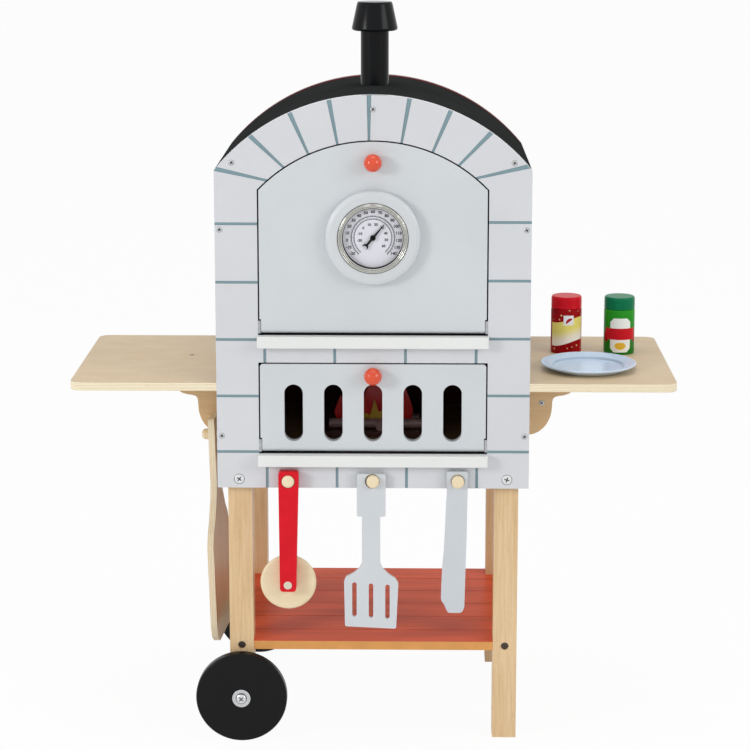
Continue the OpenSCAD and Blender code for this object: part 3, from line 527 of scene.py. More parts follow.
class Nodes:
    """Adds nodes to a Geometry Nodes tree and joins them."""

    def __init__(self, tree):
        self.tree = tree
        self.inputs = tree.nodes.new("NodeGroupInput")

    def add(self, kind, settings=None, values=None, out=0):
        made = self.tree.nodes.new(kind)
        for key, value in (settings or {}).items():
            setattr(made, key, value)
        for key, value in (values or {}).items():
            if isinstance(value, bpy.types.NodeSocket):
                self.tree.links.new(value, made.inputs[key])
            else:
                made.inputs[key].default_value = value
        return made.outputs[out] if len(made.outputs) else made

    def given(self, title):
        return self.inputs.outputs[title]

    def end(self, geometry):
        """Ends the tree: instances made real, then the material set."""
        real = self.add("GeometryNodeRealizeInstances", {}, {0: geometry})
        done = self.add("GeometryNodeSetMaterial", {}, {0: real, "Material":
                                                       self.given("Material")})
        out = self.tree.nodes.new("NodeGroupOutput")
        self.tree.links.new(done, out.inputs[0])


def run_tree(tree, base, name, values):
    """Runs a tree on a mesh and gives the plain mesh that it makes."""
    helper = bpy.data.objects.new(name + "_helper", base)
    bpy.context.scene.collection.objects.link(helper)
    modifier = helper.modifiers.new("Nodes", "NODES")
    modifier.node_group = tree
    sockets = {s.name: s.identifier for s in tree.interface.items_tree
               if s.item_type == "SOCKET" and s.in_out == "INPUT"}
    for title, value in values.items():
        modifier[sockets[title]] = value
    graph = bpy.context.evaluated_depsgraph_get()
    graph.update()
    mesh = bpy.data.meshes.new_from_object(helper.evaluated_get(graph), depsgraph=graph)
    helper.modifiers.remove(modifier)
    bpy.data.objects.remove(helper)
    mesh.name = name
    return mesh


def spots_mesh(name, points):
    """A mesh of loose points, for a tree to put pieces on."""
    mesh = bpy.data.meshes.new(name)
    mesh.from_pydata([tuple(p) for p in points], [], [])
    return mesh


def set_out_tree():
    """Puts a shape on every point, each turned by its own amount about the depth axis."""
    tree = bpy.data.node_groups.get("Set out pieces")
    if tree:
        return tree
    tree = node_tree("Set out pieces", [("Shape", "Object"), ("Turn", "Float"),
                                        ("Seed", "Int"), ("Material", "Material")])
    nodes = Nodes(tree)
    shape = nodes.add("GeometryNodeObjectInfo", {"transform_space": "ORIGINAL"},
                      {"Object": nodes.given("Shape")}, out="Geometry")
    turn = nodes.add("FunctionNodeRandomValue", {"data_type": "FLOAT"},
                     {2: 0.0, 3: nodes.given("Turn"), "Seed": nodes.given("Seed")}, out=1)
    angles = nodes.add("ShaderNodeCombineXYZ", {}, {"Y": turn})
    placed = nodes.add("GeometryNodeInstanceOnPoints", {},
                       {"Points": nodes.given("Geometry"), "Instance": shape,
                        "Rotation": angles})
    nodes.end(placed)
    return tree


def set_out(name, shape, points, material, body, nodes, turn=0.0, seed=1):
    """Pieces of one shape at many points, as one mesh."""
    template = bpy.data.objects.new(name + "_shape", shape)
    bpy.context.scene.collection.objects.link(template)
    mesh = run_tree(set_out_tree(), spots_mesh(name + "_spots", points), name,
                    {"Shape": template, "Turn": turn, "Seed": seed, "Material": material})
    bpy.data.objects.remove(template)
    mesh.set_sharp_from_angle(angle=math.radians(38))
    return new_piece(name, mesh, [material], body, nodes)


def tick_tree():
    """Marks round an arc: every fifth one is longer."""
    tree = node_tree("Dial ticks", [("Count", "Int"), ("Start", "Float"), ("Sweep", "Float"),
                                    ("Radius", "Float"), ("Tick length", "Float"),
                                    ("Tick width", "Float"), ("Material", "Material")])
    nodes = Nodes(tree)

    def maths(operation, a, b):
        return nodes.add("ShaderNodeMath", {"operation": operation}, {0: a, 1: b})

    line = nodes.add("GeometryNodeMeshLine", {}, {"Count": nodes.given("Count")})
    index = nodes.add("GeometryNodeInputIndex")
    share = maths("DIVIDE", index, maths("SUBTRACT", nodes.given("Count"), 1.0))
    angle = maths("ADD", nodes.given("Start"), maths("MULTIPLY", share, nodes.given("Sweep")))
    spot = nodes.add("ShaderNodeCombineXYZ", {}, {
        "X": maths("MULTIPLY", nodes.given("Radius"), maths("SINE", angle, 0.0)),
        "Z": maths("MULTIPLY", nodes.given("Radius"), maths("COSINE", angle, 0.0))})
    points = nodes.add("GeometryNodeSetPosition", {}, {"Geometry": line, "Position": spot})
    fifth = maths("COMPARE", maths("MODULO", index, 5.0), 0.0)
    size = nodes.add("ShaderNodeCombineXYZ", {}, {
        "X": nodes.given("Tick width"), "Y": 0.00004,
        "Z": maths("MULTIPLY", nodes.given("Tick length"),
                   maths("ADD", 0.55, maths("MULTIPLY", fifth, 0.45)))})
    cube = nodes.add("GeometryNodeMeshCube", {}, {"Size": (1.0, 1.0, 1.0)})
    placed = nodes.add("GeometryNodeInstanceOnPoints", {}, {
        "Points": points, "Instance": cube, "Scale": size,
        "Rotation": nodes.add("ShaderNodeCombineXYZ", {}, {"Y": angle})})
    nodes.end(placed)
    return tree


def joined(name, meshes):
    """Several meshes made one."""
    form = bmesh.new()
    for mesh in meshes:
        form.from_mesh(mesh)
    mesh = bpy.data.meshes.new(name)
    form.to_mesh(mesh)
    form.free()
    return mesh


def lettered(text, height, centre, thick=0.04):
    """A number as a mesh that faces the front, its middle at the centre."""
    curve = bpy.data.curves.new("number", "FONT")
    curve.body, curve.size = text, height / 0.7
    curve.align_x, curve.align_y = "CENTER", "CENTER"
    curve.extrude, curve.offset = thick * MM / 2, 0.19 * MM
    curve.resolution_u = 3
    helper = bpy.data.objects.new("number_helper", curve)
    bpy.context.scene.collection.objects.link(helper)
    graph = bpy.context.evaluated_depsgraph_get()
    mesh = bpy.data.meshes.new_from_object(helper.evaluated_get(graph), depsgraph=graph)
    bpy.data.objects.remove(helper)
    mesh.transform(Matrix.Translation(centre) @ Matrix.Rotation(math.pi / 2, 4, "X"))
    return mesh


def settings(context):
    """The sizes and the colours that the user may change."""
    return context.scene.oven_sizes, context.scene.oven_colours


# ---- the pieces ----------------------------------------------------------------------


class OVEN_OT_body(bpy.types.Operator):
    """Painted front, side and back panels, the two ledges and the boards inside"""

    bl_idname = "oven.body"
    bl_label = "Body panels"

    def execute(self, context):
        sizes, colours = settings(context)
        panel = known("panel_paint", paint, colours.panel)
        joint = known("joint_paint", paint, colours.joint, rough=0.5, coat=0.0)
        gap_shade = known("gap_shade_paint", paint, tone(24, 25, 27), rough=0.6, coat=0.0)
        groove = 0.9 * MM

        middles = []
        for node in ("upper_door", "lower_door"):
            low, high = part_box(node)
            middles.append(Vector(((low.x + high.x) / 2, 0, (low.z + high.z) / 2)))

        def part_of(normal, points):
            depths = [p.y - FRONT for p in points]
            if groove - 0.1 * MM < max(depths) < groove + 0.1 * MM:
                return 1
            middle = sum(points, Vector()) / len(points)
            inward = any((middle - m).dot(normal) < 0 for m in middles)
            # Walls of the door openings more than 3 mm deep take near-black paint: painted shade
            # in the gaps round the doors.
            return 2 if abs(normal.y) < 0.5 and inward and max(depths) > 3 * MM else 0

        softened("front_panel", [panel, joint, gap_shade], sizes.board_edge, 2,
                 part_of)
        for node in ("left_side_panel", "right_side_panel"):
            softened(node, [panel], sizes.board_edge)
        back = known("back_paint", gloss, colours.back, rough=0.36, coat=0.0, shine=0.15)
        softened("back_panel", [back], sizes.board_edge)
        ledge = known("ledge_paint", paint, colours.ledge, rough=0.4)
        for node in ("upper_ledge", "lower_ledge"):
            softened(node, [ledge], sizes.ledge_edge, 3)
        inner = known("inner_wood", wood, dimmed(colours.beech_dark, 0.5),
                      dimmed(colours.beech_dark, 0.3), grain="X")
        for node in ("oven_floor", "fire_floor"):
            softened(node, [inner], sizes.board_edge)
        return {"FINISHED"}


class OVEN_OT_roof(bpy.types.Operator):
    """Bent gloss roof with its battens, the chimney pipe and its flared cap"""

    bl_idname = "oven.roof"
    bl_label = "Roof and chimney"

    def execute(self, context):
        sizes, colours = settings(context)
        roof = known("roof_paint", roof_paint, colours.roof, colours.back)
        softened("roof", [roof], sizes.board_edge)
        batten = known("batten_wood", wood, colours.beech, colours.beech_dark, grain="Y")
        for node in ("ridge_batten", "eave_battens"):
            softened(node, [batten], sizes.board_edge)
        black = known("chimney_gloss", gloss, colours.chimney, rough=0.2, coat=0.0, shine=0.12)
        softened("chimney_pipe", [black], sizes.board_edge)
        low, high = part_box("chimney_cap")
        tall = (high.z - low.z) / MM
        wide = (high.x - low.x) / 2 / MM
        cap = turned("chimney_cap_finished", filleted(
            [(0, 0), (wide - 2.4, 0), (wide - 0.4, 1.2), (wide, 3.2), (wide * 0.78, tall - 3.2),
             (wide * 0.74, tall), (0, tall)], 2.2, 6),
            ((low.x + high.x) / 2, (low.y + high.y) / 2, low.z), "up")
        new_piece("chimney_cap_finished", cap, [black], "stand",
                  ["chimney_cap"])
        return {"FINISHED"}


def roof_paint(finish, colour, rim):
    """Black paint, a little uneven, with the back panel's red along the rear edge."""
    cloud = finish.noise(14, 3, 0.6)
    fine = finish.noise(700, 2, 0.6)
    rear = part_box("roof")[1].y
    tint = finish.mix(cloud.ramp(0.3, 0.75), dimmed(colour, 0.8), tuple(colour))
    tint = finish.mix(finish.along("Y").ramp(rear - 19 * MM, rear - 13 * MM), tint, tuple(rim))
    return finish.done(tint, fine * 0.1 + 0.4, cloud + fine * 0.1, 0.02,
                       Specular_IOR_Level=0.0)


class OVEN_OT_stand(bpy.types.Operator):
    """Four beech legs and the red planked shelf that is notched round them"""

    bl_idname = "oven.stand"
    bl_label = "Legs and lower shelf"

    def execute(self, context):
        sizes, colours = settings(context)
        for i, node in enumerate(("front_left_leg", "front_right_leg", "rear_left_leg",
                                  "rear_right_leg")):
            beech = known("leg_wood_%d" % i, wood, colours.beech, colours.beech_dark, "Z", 1.0,
                          0.48, i * 0.37)
            softened(node, [beech], sizes.wood_edge)
        red = known("shelf_gloss", shelf_paint, colours.shelf_red, colours.shelf_line)
        edge = known("shelf_edge_paint", gloss, colours.shelf_edge, rough=0.36, coat=0.0)

        def part_of(normal, points):
            return int(normal.y < -0.7 and min(p.y for p in points) < FRONT + 20 * MM)

        softened("lower_shelf", [red, edge], 0.3 * MM, 2, part_of)
        return {"FINISHED"}


def shelf_paint(finish, colour, line):
    """Gloss red planks, each a little different, with darker lines between them."""
    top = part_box("lower_shelf")[1].z
    grain = finish.noise(40, 3, 0.6, finish.mapped((0.1, 1, 1)))
    streak = finish.noise(400, 3, 0.6, finish.mapped((0.05, 1, 1)))
    groove = finish.along("Z").ramp(top - 0.1 * MM, top - 0.5 * MM)
    tint = finish.mix(grain.ramp(0.25, 0.75), dimmed(colour, 0.86), dimmed(colour, 1.1))
    tint = finish.mix(streak.ramp(0.5, 0.8) * 0.25, tint, dimmed(colour, 0.7))
    tint = finish.mix(groove, tint, tuple(line))
    return finish.done(tint, streak * 0.12 + 0.26, streak + grain, 0.02,
                       Specular_IOR_Level=0.04)


class OVEN_OT_side_shelves(bpy.types.Operator):
    """Plywood side shelves with layered edges, and their curved brackets"""

    bl_idname = "oven.side_shelves"
    bl_label = "Side shelves and brackets"

    def execute(self, context):
        sizes, colours = settings(context)
        edge = known("ply_layers", layers, colours.ply_edge, colours.ply_dark, "Z", 1.9)

        def part_of(normal, points):
            return int(abs(normal.z) < 0.6)

        for i, node in enumerate(("left_shelf", "right_shelf")):
            face = known("ply_face_%d" % i, ply_top, colours.ply, colours.ply_dark,
                         i * 0.8 + 0.2)
            softened(node, [face, edge], sizes.ply_edge, 3, part_of)
        for i, node in enumerate(("left_bracket", "right_bracket")):
            beech = known("bracket_wood_%d" % i, wood, tone(234, 202, 156),
                          tone(214, 176, 126), "X", 0.8, 0.48, i * 0.5)
            softened(node, [beech], sizes.wood_edge)
        return {"FINISHED"}


class OVEN_OT_doors(bpy.types.Operator):
    """Both drop-down doors, their ball knobs, hinge plates and catches"""

    bl_idname = "oven.doors"
    bl_label = "Doors"

    def execute(self, context):
        sizes, colours = settings(context)
        door = known("door_paint", paint, colours.door)
        for node in ("upper_door", "lower_door"):
            softened(node, [door], sizes.door_edge, 3)
        coral = known("knob_gloss", gloss, colours.knob, rough=0.14, coat=0.3, shine=0.3)
        for node in ("upper_knob", "lower_knob"):
            low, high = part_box(node)
            r = (high.x - low.x) / 2 / MM
            inner = (FRONT - high.y) / MM
            ball = [(r * math.cos(math.radians(a)), 10 + r * math.sin(math.radians(a)))
                    for a in range(-56, 88, 4)]
            profile = [(0, inner), (2, inner), (2, 0), (5.6, 0)] + ball + [(0, 10 + r)]
            mesh = turned(node + "_finished", profile,
                          ((low.x + high.x) / 2, FRONT, (low.z + high.z) / 2))
            new_piece(node + "_finished", mesh, [coral], body_of(node), [node])
        steel = known("hinge_steel", metal, tone(190, 191, 194), rough=0.3, brush="Z")
        softened("hinge_pivots", [steel], 0.3 * MM)
        block = known("catch_wood", wood, colours.beech, colours.beech_dark, "X")
        softened("door_catches", [block], 0.6 * MM)
        return {"FINISHED"}


class OVEN_OT_thermometer(bpy.types.Operator):
    """Turned ring, metal bezel, printed dial with its numbers and marks, and the needle"""

    bl_idname = "oven.thermometer"
    bl_label = "Thermometer"

    def execute(self, context):
        sizes, colours = settings(context)
        low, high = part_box("gauge_ring")
        centre = Vector(((low.x + high.x) / 2, FRONT, (low.z + high.z) / 2))
        r, t = (high.x - low.x) / 2 / MM, (FRONT - low.y) / MM
        low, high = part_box("gauge_bezel")
        b, front = (high.x - low.x) / 2 / MM, (FRONT - low.y) / MM
        ring = known("ring_paint", paint, colours.ring, rough=0.36)
        profile = filleted([(b - 2, 0, 0), (r - 1.2, 0, 0), (r, 1.2, 0.5), (r, t - 4.6, 3),
                            (r - 1.2, t - 1.6, 3), (r - 5.4, t, 3), (b + 0.4, t, 0.3),
                            (b + 0.4, t - 3, 0), (b - 2, t - 3, 0), (b - 2, 0, 0)], 0.5, 6)
        mesh = turned("gauge_ring_finished", profile, centre, steps=160)
        new_piece("gauge_ring_finished", mesh, [ring], "upper_door",
                  ["gauge_ring"])
        dial_r = b - 6.5
        face = 4.2
        # The three dark rings given here are painted reflections at the bezel's steps.
        plated = known("bezel_chrome", chrome, tone(206, 206, 200), centre,
                       ((b - 0.2, 0.4), (b - 2.5, 0.3), (b - 4.3, 0.35)))
        black = known("needle_paint", gloss, tone(14, 14, 16), rough=0.5, coat=0.0, shine=0.1)
        profile = filleted([
            (dial_r, face + 0.2, 0), (b - 2.4, face + 0.2, 0), (b - 2.4, t - 3, 0),
            (b, t - 3, 0), (b, t + 0.1, 0.4), (b - 0.9, front - 0.2, 0.5),
            (b - 1.6, front - 0.9, 0.3), (b - 2.3, front, 0.5), (b - 3.4, front, 0.5),
            (b - 4.2, front - 1.5, 0.4), (dial_r + 0.9, front - 1.7, 0.4),
            (dial_r, t - 1.4, 0.5), (dial_r, face + 0.2, 0)], 0.4, 4)
        mesh = turned("gauge_bezel_finished", profile, centre, steps=160)
        new_piece("gauge_bezel_finished", mesh, [plated, black], "upper_door",
                  ["gauge_bezel"])
        # The bezel's inner wall next to the dial takes the black paint: painted shade in the
        # recess above the dial.
        for face_of in mesh.polygons:
            out = max((mesh.vertices[v].co - centre).xz.length for v in face_of.vertices)
            face_of.material_index = int(out < (dial_r + 0.95) * MM)
        dial = known("dial_card", paint, colours.dial, rough=0.45, coat=0.3)
        softened("gauge_dial", [dial], 0.1 * MM)
        ink = known("dial_ink", paint, tone(14, 14, 18), rough=0.6, coat=0.0)
        top = centre + Vector((0, -(face + 0.03) * MM, 0))
        marks = []
        # Each row: last number, angle of the first, degrees for one unit, radius, height.
        for last, first_at, step, radius, tall in ((140, -128, 1.6, 31.7, sizes.outer_digit),
                                                   (60, -102, 2.88, 16.5, sizes.inner_digit)):
            for value in range(-20, last + 1, 10):
                a = math.radians(first_at + (value + 20) * step)
                spot = top + Vector((math.sin(a), 0, math.cos(a))) * radius * MM
                marks.append(lettered(str(value), tall, spot))
        ticks = tick_tree()
        for name, count, radius, length in (("outer_ticks", sizes.outer_ticks, 27.0, 2.2),
                                            ("inner_ticks", sizes.inner_ticks, 23.8, 2.0)):
            mesh = run_tree(ticks, spots_mesh(name, [(0, 0, 0)]), name, {
                "Count": count, "Start": math.radians(-ARC_END),
                "Sweep": math.radians(2 * ARC_END),
                "Radius": radius * MM, "Tick length": length * MM, "Tick width": 0.6 * MM,
                "Material": ink})
            mesh.transform(Matrix.Translation(top))
            marks.append(mesh)
        for radius in (26.0, 22.8):
            marks.append(arc_line("dial_arc", radius, 0.75, -ARC_END, ARC_END, top))
        new_piece("dial_marks", joined("dial_marks", marks), [ink], "upper_door")
        softened("gauge_needle", [black], 0.12 * MM)
        return {"FINISHED"}


def arc_line(name, radius, width, start, end, centre):
    """A thin printed line round an arc, facing the front."""
    form = bmesh.new()
    before, steps = None, 92
    for i in range(steps + 1):
        a = math.radians(start + (end - start) * i / steps)
        out = Vector((math.sin(a), 0, math.cos(a)))
        pair = [form.verts.new(centre + out * (radius + s * width / 2) * MM) for s in (-1, 1)]
        if before:
            form.faces.new((before[0], pair[0], pair[1], before[1]))
        before = pair
    bmesh.ops.recalc_face_normals(form, faces=form.faces)
    if form.faces[:][0].normal.y > 0:
        bmesh.ops.reverse_faces(form, faces=form.faces[:])
    mesh = bpy.data.meshes.new(name)
    form.to_mesh(mesh)
    form.free()
    return mesh


class OVEN_OT_wheels(bpy.types.Operator):
    """Two black wheels with their axle bolts, washers and spacers"""

    bl_idname = "oven.wheels"
    bl_label = "Wheels"

    def execute(self, context):
        sizes, colours = settings(context)
        black = known("wheel_paint", gloss, colours.wheel, rough=0.3, coat=0.0, shine=0.1)
        for node in ("front_wheel", "rear_wheel"):
            softened(node, [black], 0.7 * MM, 3)
        steel = known("axle_steel", metal, tone(205, 206, 208), rough=0.25)
        for node in ("axle_spacers", "axle_washers"):
            softened(node, [steel], sizes.metal_edge)
        low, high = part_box("axle_bolts")
        middle = (low.y + high.y) / 2
        heads = [known("axle_head_%d" % i, screw_head, tone(214, 215, 216), y, 1.6, way)
                 for i, (y, way) in enumerate(((low.y, 1), (high.y, -1)))]
        softened("axle_bolts", heads, sizes.metal_edge, 2,
                 lambda normal, points: int(points[0].y > middle))
        return {"FINISHED"}


class OVEN_OT_screws(bpy.types.Operator):
    """Small cross-head screws and the larger frame bolts, set out by Geometry Nodes"""

    bl_idname = "oven.screws"
    bl_label = "Screws and bolts"

    def execute(self, context):
        sizes = context.scene.oven_sizes
        small = known("screw_steel", metal, tone(96, 94, 92), rough=0.36)
        dark = known("dark_bolt_steel", metal, tone(88, 80, 74), rough=0.35)
        for node, bright, deep, way in (("panel_screws", (200, 201, 203), 0.9, 1),
                                        ("bracket_screw", (200, 201, 203), 0.9, 1),
                                        ("frame_bolts", (226, 227, 228), 1.3, 1),
                                        ("rear_bolts", (206, 207, 209), 1.3, -1)):
            boxes = islands(node)
            middle = (boxes[0][0] + boxes[0][1]) / 2
            origin = Vector((middle.x, boxes[0][0].y, middle.z))
            shape = one_island(node, origin, sizes.metal_edge)
            face = boxes[0][0].y if way > 0 else boxes[0][1].y
            material = known(node + "_head", screw_head, tone(*bright), face, deep, way)
            points = [Vector(((a.x + b.x) / 2, a.y, (a.z + b.z) / 2)) for a, b in boxes]
            set_out(node + "_finished", shape, points, material, "stand",
                    [node], math.pi / 2, 3)
        softened("leg_bolts", [dark], sizes.metal_edge)
        softened("shelf_screws", [small], 0.05 * MM)
        return {"FINISHED"}


def one_island(node, origin, width):
    """The first of a node's equal solids, moved so that the origin is at the given point."""
    low, high = islands(node)[0]
    form = bmesh.new()
    form.from_mesh(evaluated(node + "_soft", solid_of(node), [
        ("BEVEL", {"width": width, "segments": 2, "limit_method": "ANGLE",
                   "angle_limit": math.radians(30)})]))
    room = 0.2 * MM
    away = [v for v in form.verts
            if any(v.co[i] < low[i] - room or v.co[i] > high[i] + room for i in range(3))]
    bmesh.ops.delete(form, geom=away, context="VERTS")
    bmesh.ops.translate(form, verts=form.verts, vec=-origin)
    mesh = bpy.data.meshes.new(node + "_one")
    form.to_mesh(mesh)
    form.free()
    return mesh


class OVEN_OT_utensils(bpy.types.Operator):
    """Three pegs with the cutter, the spatula and the knife that hang on them"""

    bl_idname = "oven.utensils"
    bl_label = "Pegs and utensils"

    def execute(self, context):
        colours = context.scene.oven_colours
        pale = known("peg_wood", wood, colours.peg, tone(222, 198, 156), "Y", 0.5, 0.5)
        boxes = islands("utensil_pegs")
        low, high = boxes[0]
        r, out = (high.x - low.x) / 2 / MM, (FRONT - low.y) / MM
        back = (FRONT - high.y) / MM
        shape = turned("peg_shape", filleted(
            [(0, back), (r - 1.5, back), (r - 1.5, 0), (r, 0, 0.4), (r, out - 1.7, 0.8),
             (r - 1.7, out, 0.8), (0, out)], 0.2, 4), (0, 0, 0), steps=48)
        points = [Vector(((a.x + b.x) / 2, FRONT, (a.z + b.z) / 2)) for a, b in boxes]
        set_out("utensil_pegs_finished", shape, points, pale, "stand",
                ["utensil_pegs"])
        softened("peel_peg", [pale], 0.6 * MM)
        red = known("cutter_gloss", gloss, colours.cutter, rough=0.34, coat=0.0, shine=0.12)
        softened("cutter_handle", [red], 1.0 * MM, 3)
        disc = known("cutter_wood", ply_top, tone(240, 224, 188), tone(228, 208, 170), 0.4)
        softened("cutter_wheel", [disc], 0.6 * MM)
        rivet = known("rivet_wood", wood, tone(226, 218, 200), tone(196, 182, 158), "Y", 0.5)
        softened("cutter_rivet", [rivet], 0.3 * MM)
        grey = known("spatula_paint", paint, colours.spatula, rough=0.36)
        softened("spatula", [grey], 0.8 * MM, 3)
        steel = known("knife_paint", paint, colours.knife, rough=0.34)
        softened("knife", [steel], 0.8 * MM, 3)
        return {"FINISHED"}


class OVEN_OT_peel(bpy.types.Operator):
    """The thin wooden peel that hangs at the left side"""

    bl_idname = "oven.peel"
    bl_label = "Peel"

    def execute(self, context):
        face = known("peel_wood", wood, tone(214, 184, 142), tone(188, 154, 110), "Z", 0.8)
        edge = known("peel_layers", layers, tone(246, 234, 206), tone(214, 190, 150), "X", 2.1)

        def part_of(normal, points):
            return int(abs(normal.x) < 0.6)

        softened("peel", [face, edge], 1.2 * MM, 3, part_of)
        return {"FINISHED"}


class OVEN_OT_jars(bpy.types.Operator):
    """Two turned jars with ribbed caps and plain coloured labels"""

    bl_idname = "oven.jars"
    bl_label = "Jars"

    def execute(self, context):
        colours = context.scene.oven_colours
        for name, colour, cap_colour, label in (
                ("red_jar", colours.jar_red, colours.jar_red_cap, red_label),
                ("green_jar", colours.jar_green, colours.jar_green_cap, green_label)):
            low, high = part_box(name)
            centre = Vector(((low.x + high.x) / 2, (low.y + high.y) / 2, low.z))
            r, tall = (high.x - low.x) / 2 / MM, (high.z - low.z) / MM
            top = (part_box(name + "_cap")[1].z - low.z) / MM
            body = filleted([(0, 0), (r - 0.3, 0, 0.8), (r - 0.3, 1.8, 0.4), (r, 2.6, 0.4),
                             (r, tall - 1.2, 0.5), (r - 1.2, tall, 0.4), (0, tall)], 0.5, 4)
            material = known(name + "_label", label, colour, centre, r * MM)
            new_piece(name + "_finished", turned(name + "_finished", body, centre, "up"),
                      [material], name, [name])
            ribs = [(0, tall), (r - 1.4, tall, 0.2), (r - 0.3, tall + 0.6, 0.3)]
            z = tall + 1.6
            while z < top - 4:
                ribs += [(r - 0.2, z, 0.2), (r - 0.2, z + 1.0, 0.2), (r - 0.55, z + 1.3, 0.1),
                         (r - 0.55, z + 1.6, 0.1)]
                z += 2.0
            ribs += [(r - 0.25, top - 2.2, 0.6), (r - 1.4, top, 1.0), (r - 3.4, top, 0.4),
                     (0, top)]
            cap = known(name + "_cap_gloss", gloss, cap_colour, rough=0.34, coat=0.0, shine=0.15)
            new_piece(name + "_cap_finished",
                      turned(name + "_cap_finished", filleted(ribs, 0.3, 3), centre, "up"),
                      [cap], name, [name + "_cap"])
        return {"FINISHED"}


def round_label(finish, centre, radius, turn):
    """(distance round the jar from the label's middle, height), both in millimetres."""
    at = finish.mapped(shift=tuple(-c for c in centre))
    x, y, z = (finish.along(axis, at) for axis in "XYZ")
    angle = finish.maths_of("ARCTAN2", x, 0 - y)
    return (angle - turn) * (radius / MM), z / MM


def inside(value, low, high, soft=0.12):
    """1 between low and high, 0 outside them."""
    return value.ramp(low - soft, low + soft) * value.ramp(high + soft, high - soft)


def red_label(finish, colour, centre, radius):
    """Dark red label with a cream band that rises to the right and a plain white patch."""
    u, v = round_label(finish, centre, radius, 0.0)
    wave = finish.maths_of("SINE", u * 0.075)
    low, high = wave * 4.4 + 14.5, wave * 4.0 + 45
    band = (v - low).ramp(-0.12, 0.12) * (high - v).ramp(-0.12, 0.12)
    band = band * inside(u, -24, 24, 0.3)
    speck = finish.node("ShaderNodeTexVoronoi", {},
                        {"Vector": finish.place, "Scale": 150.0}).ramp(0.24, 0.16)
    edge = finish.noise(60, 3, 0.6)
    tint = finish.mix(edge.ramp(0.3, 0.7), dimmed(colour, 0.8), dimmed(colour, 1.25))
    tint = finish.mix(speck * 0.8, tint, tone(232, 200, 150))
    cream = finish.mix(((v - low) / 28).ramp(0.1, 0.7), tone(250, 242, 230),
                       tone(240, 224, 120))
    tint = finish.mix(band, tint, cream)
    patch = inside(u, -5, 8.6) * inside(v, 38.6, 51.4)
    tint = finish.mix(patch, tint, tone(240, 238, 238))
    du, dv = (u - 1.8) * 0.8 + (v - 45) * 0.6, (v - 45) * 0.8 - (u - 1.8) * 0.6
    pod = ((du / 5.2) ** 2.0 + ((dv + du * du * 0.05) / 1.9) ** 2.0).ramp(1.1, 0.9)
    tint = finish.mix(pod, tint, tone(178, 22, 40))
    return finish.done(tint, edge * 0.12 + 0.26, edge, 0.02, Coat_Weight=0.0,
                       Specular_IOR_Level=0.1)


def green_label(finish, colour, centre, radius):
    """Green label with a white eight-sided patch, a red band and a yellow spot."""
    u, v = round_label(finish, centre, radius, 0.0)
    cloud = finish.noise(30, 3, 0.6)
    tint = finish.mix((v / 59).ramp(0.2, 1.0), dimmed(colour, 0.72), dimmed(colour, 1.2))
    tint = finish.mix(cloud.ramp(0.4, 0.8) * 0.25, tint, dimmed(colour, 0.6))
    corner = abs(u) + abs(v - 25.9)
    patch = (inside(u, -14.0, 14.0) * inside(v, 3.4, 48.4)
             * corner.ramp(31.6, 31.3))
    tint = finish.mix(patch, tint, tone(244, 246, 240))
    spot = ((u / 7.4) ** 2.0 + ((v - 11.8) / 4.8) ** 2.0
            + finish.noise(260, 2, 0.5) * 0.5).ramp(1.3, 1.15)
    tint = finish.mix(spot, tint, tone(236, 190, 62))
    fold = inside(v, 16.4, 30) * inside(abs(u), 18.5, 27)
    tint = finish.mix(fold, tint, tone(150, 14, 24))
    band = inside(v, 20, 35) * inside(abs(u), -1, 22.6)
    tint = finish.mix(band, tint, tone(206, 24, 36))
    return finish.done(tint, cloud * 0.12 + 0.26, cloud, 0.02, Coat_Weight=0.0,
                       Specular_IOR_Level=0.1)


class OVEN_OT_plate(bpy.types.Operator):
    """The turned plate with its well and rim"""

    bl_idname = "oven.plate"
    bl_label = "Plate"

    def execute(self, context):
        colours = context.scene.oven_colours
        low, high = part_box("plate")
        r = (high.x - low.x) / 2 / MM
        centre = Vector(((low.x + high.x) / 2, (low.y + high.y) / 2, low.z))
        blue = known("plate_paint", plate_paint, colours.plate, centre)
        profile = filleted([(0, 0), (44, 0, 1), (48, 1.4, 3), (r - 3, 6, 1), (r, 7.4, 0.8),
                            (r, 9, 0.7), (r - 1, 9.6, 0.8), (r - 3, 9.2, 1.5),
                            (46, 6.2, 1.2), (43.4, 3.2, 1.5), (41, 2.6, 1), (0, 2.6)], 1, 5)
        new_piece("plate_finished", turned("plate_finished", profile, centre, "up", 160),
                  [blue], "plate", ["plate"])
        return {"FINISHED"}


def plate_paint(finish, colour, centre):
    """Blue lacquer, a little darker round the foot of the well as painted shade."""
    at = finish.mapped(shift=tuple(-c for c in centre))
    x, y = finish.along("X", at), finish.along("Y", at)
    reach = (x * x + y * y) ** 0.5
    cloud = finish.noise(60, 3, 0.6)
    # Painted shade: a darker ring at the step at the foot of the well.
    well_shade = abs(reach - 44.4 * MM).ramp(2.2 * MM, 0.3 * MM)
    tint = finish.mix(cloud.ramp(0.3, 0.7), dimmed(colour, 0.94), tuple(colour))
    tint = finish.mix(well_shade * 0.75, tint, dimmed(colour, 0.55))
    return finish.done(tint, cloud * 0.1 + 0.2, cloud, 0.02, Specular_IOR_Level=0.25)


class OVEN_OT_fire(bpy.types.Operator):
    """The painted wooden fire behind the slotted door"""

    bl_idname = "oven.fire"
    bl_label = "Fire"

    def execute(self, context):
        for node, slot, colour in (("fire_base", "fire_log", (74, 36, 28)),
                                   ("fire_logs", "fire_log", (176, 142, 142)),
                                   ("red_flame", "fire_red", (255, 28, 30)),
                                   ("yellow_flame", "fire_yellow", (255, 206, 70))):
            material = known(node + "_paint", paint, tone(*colour), rough=0.4)
            softened(node, [material], 0.8 * MM)
        return {"FINISHED"}


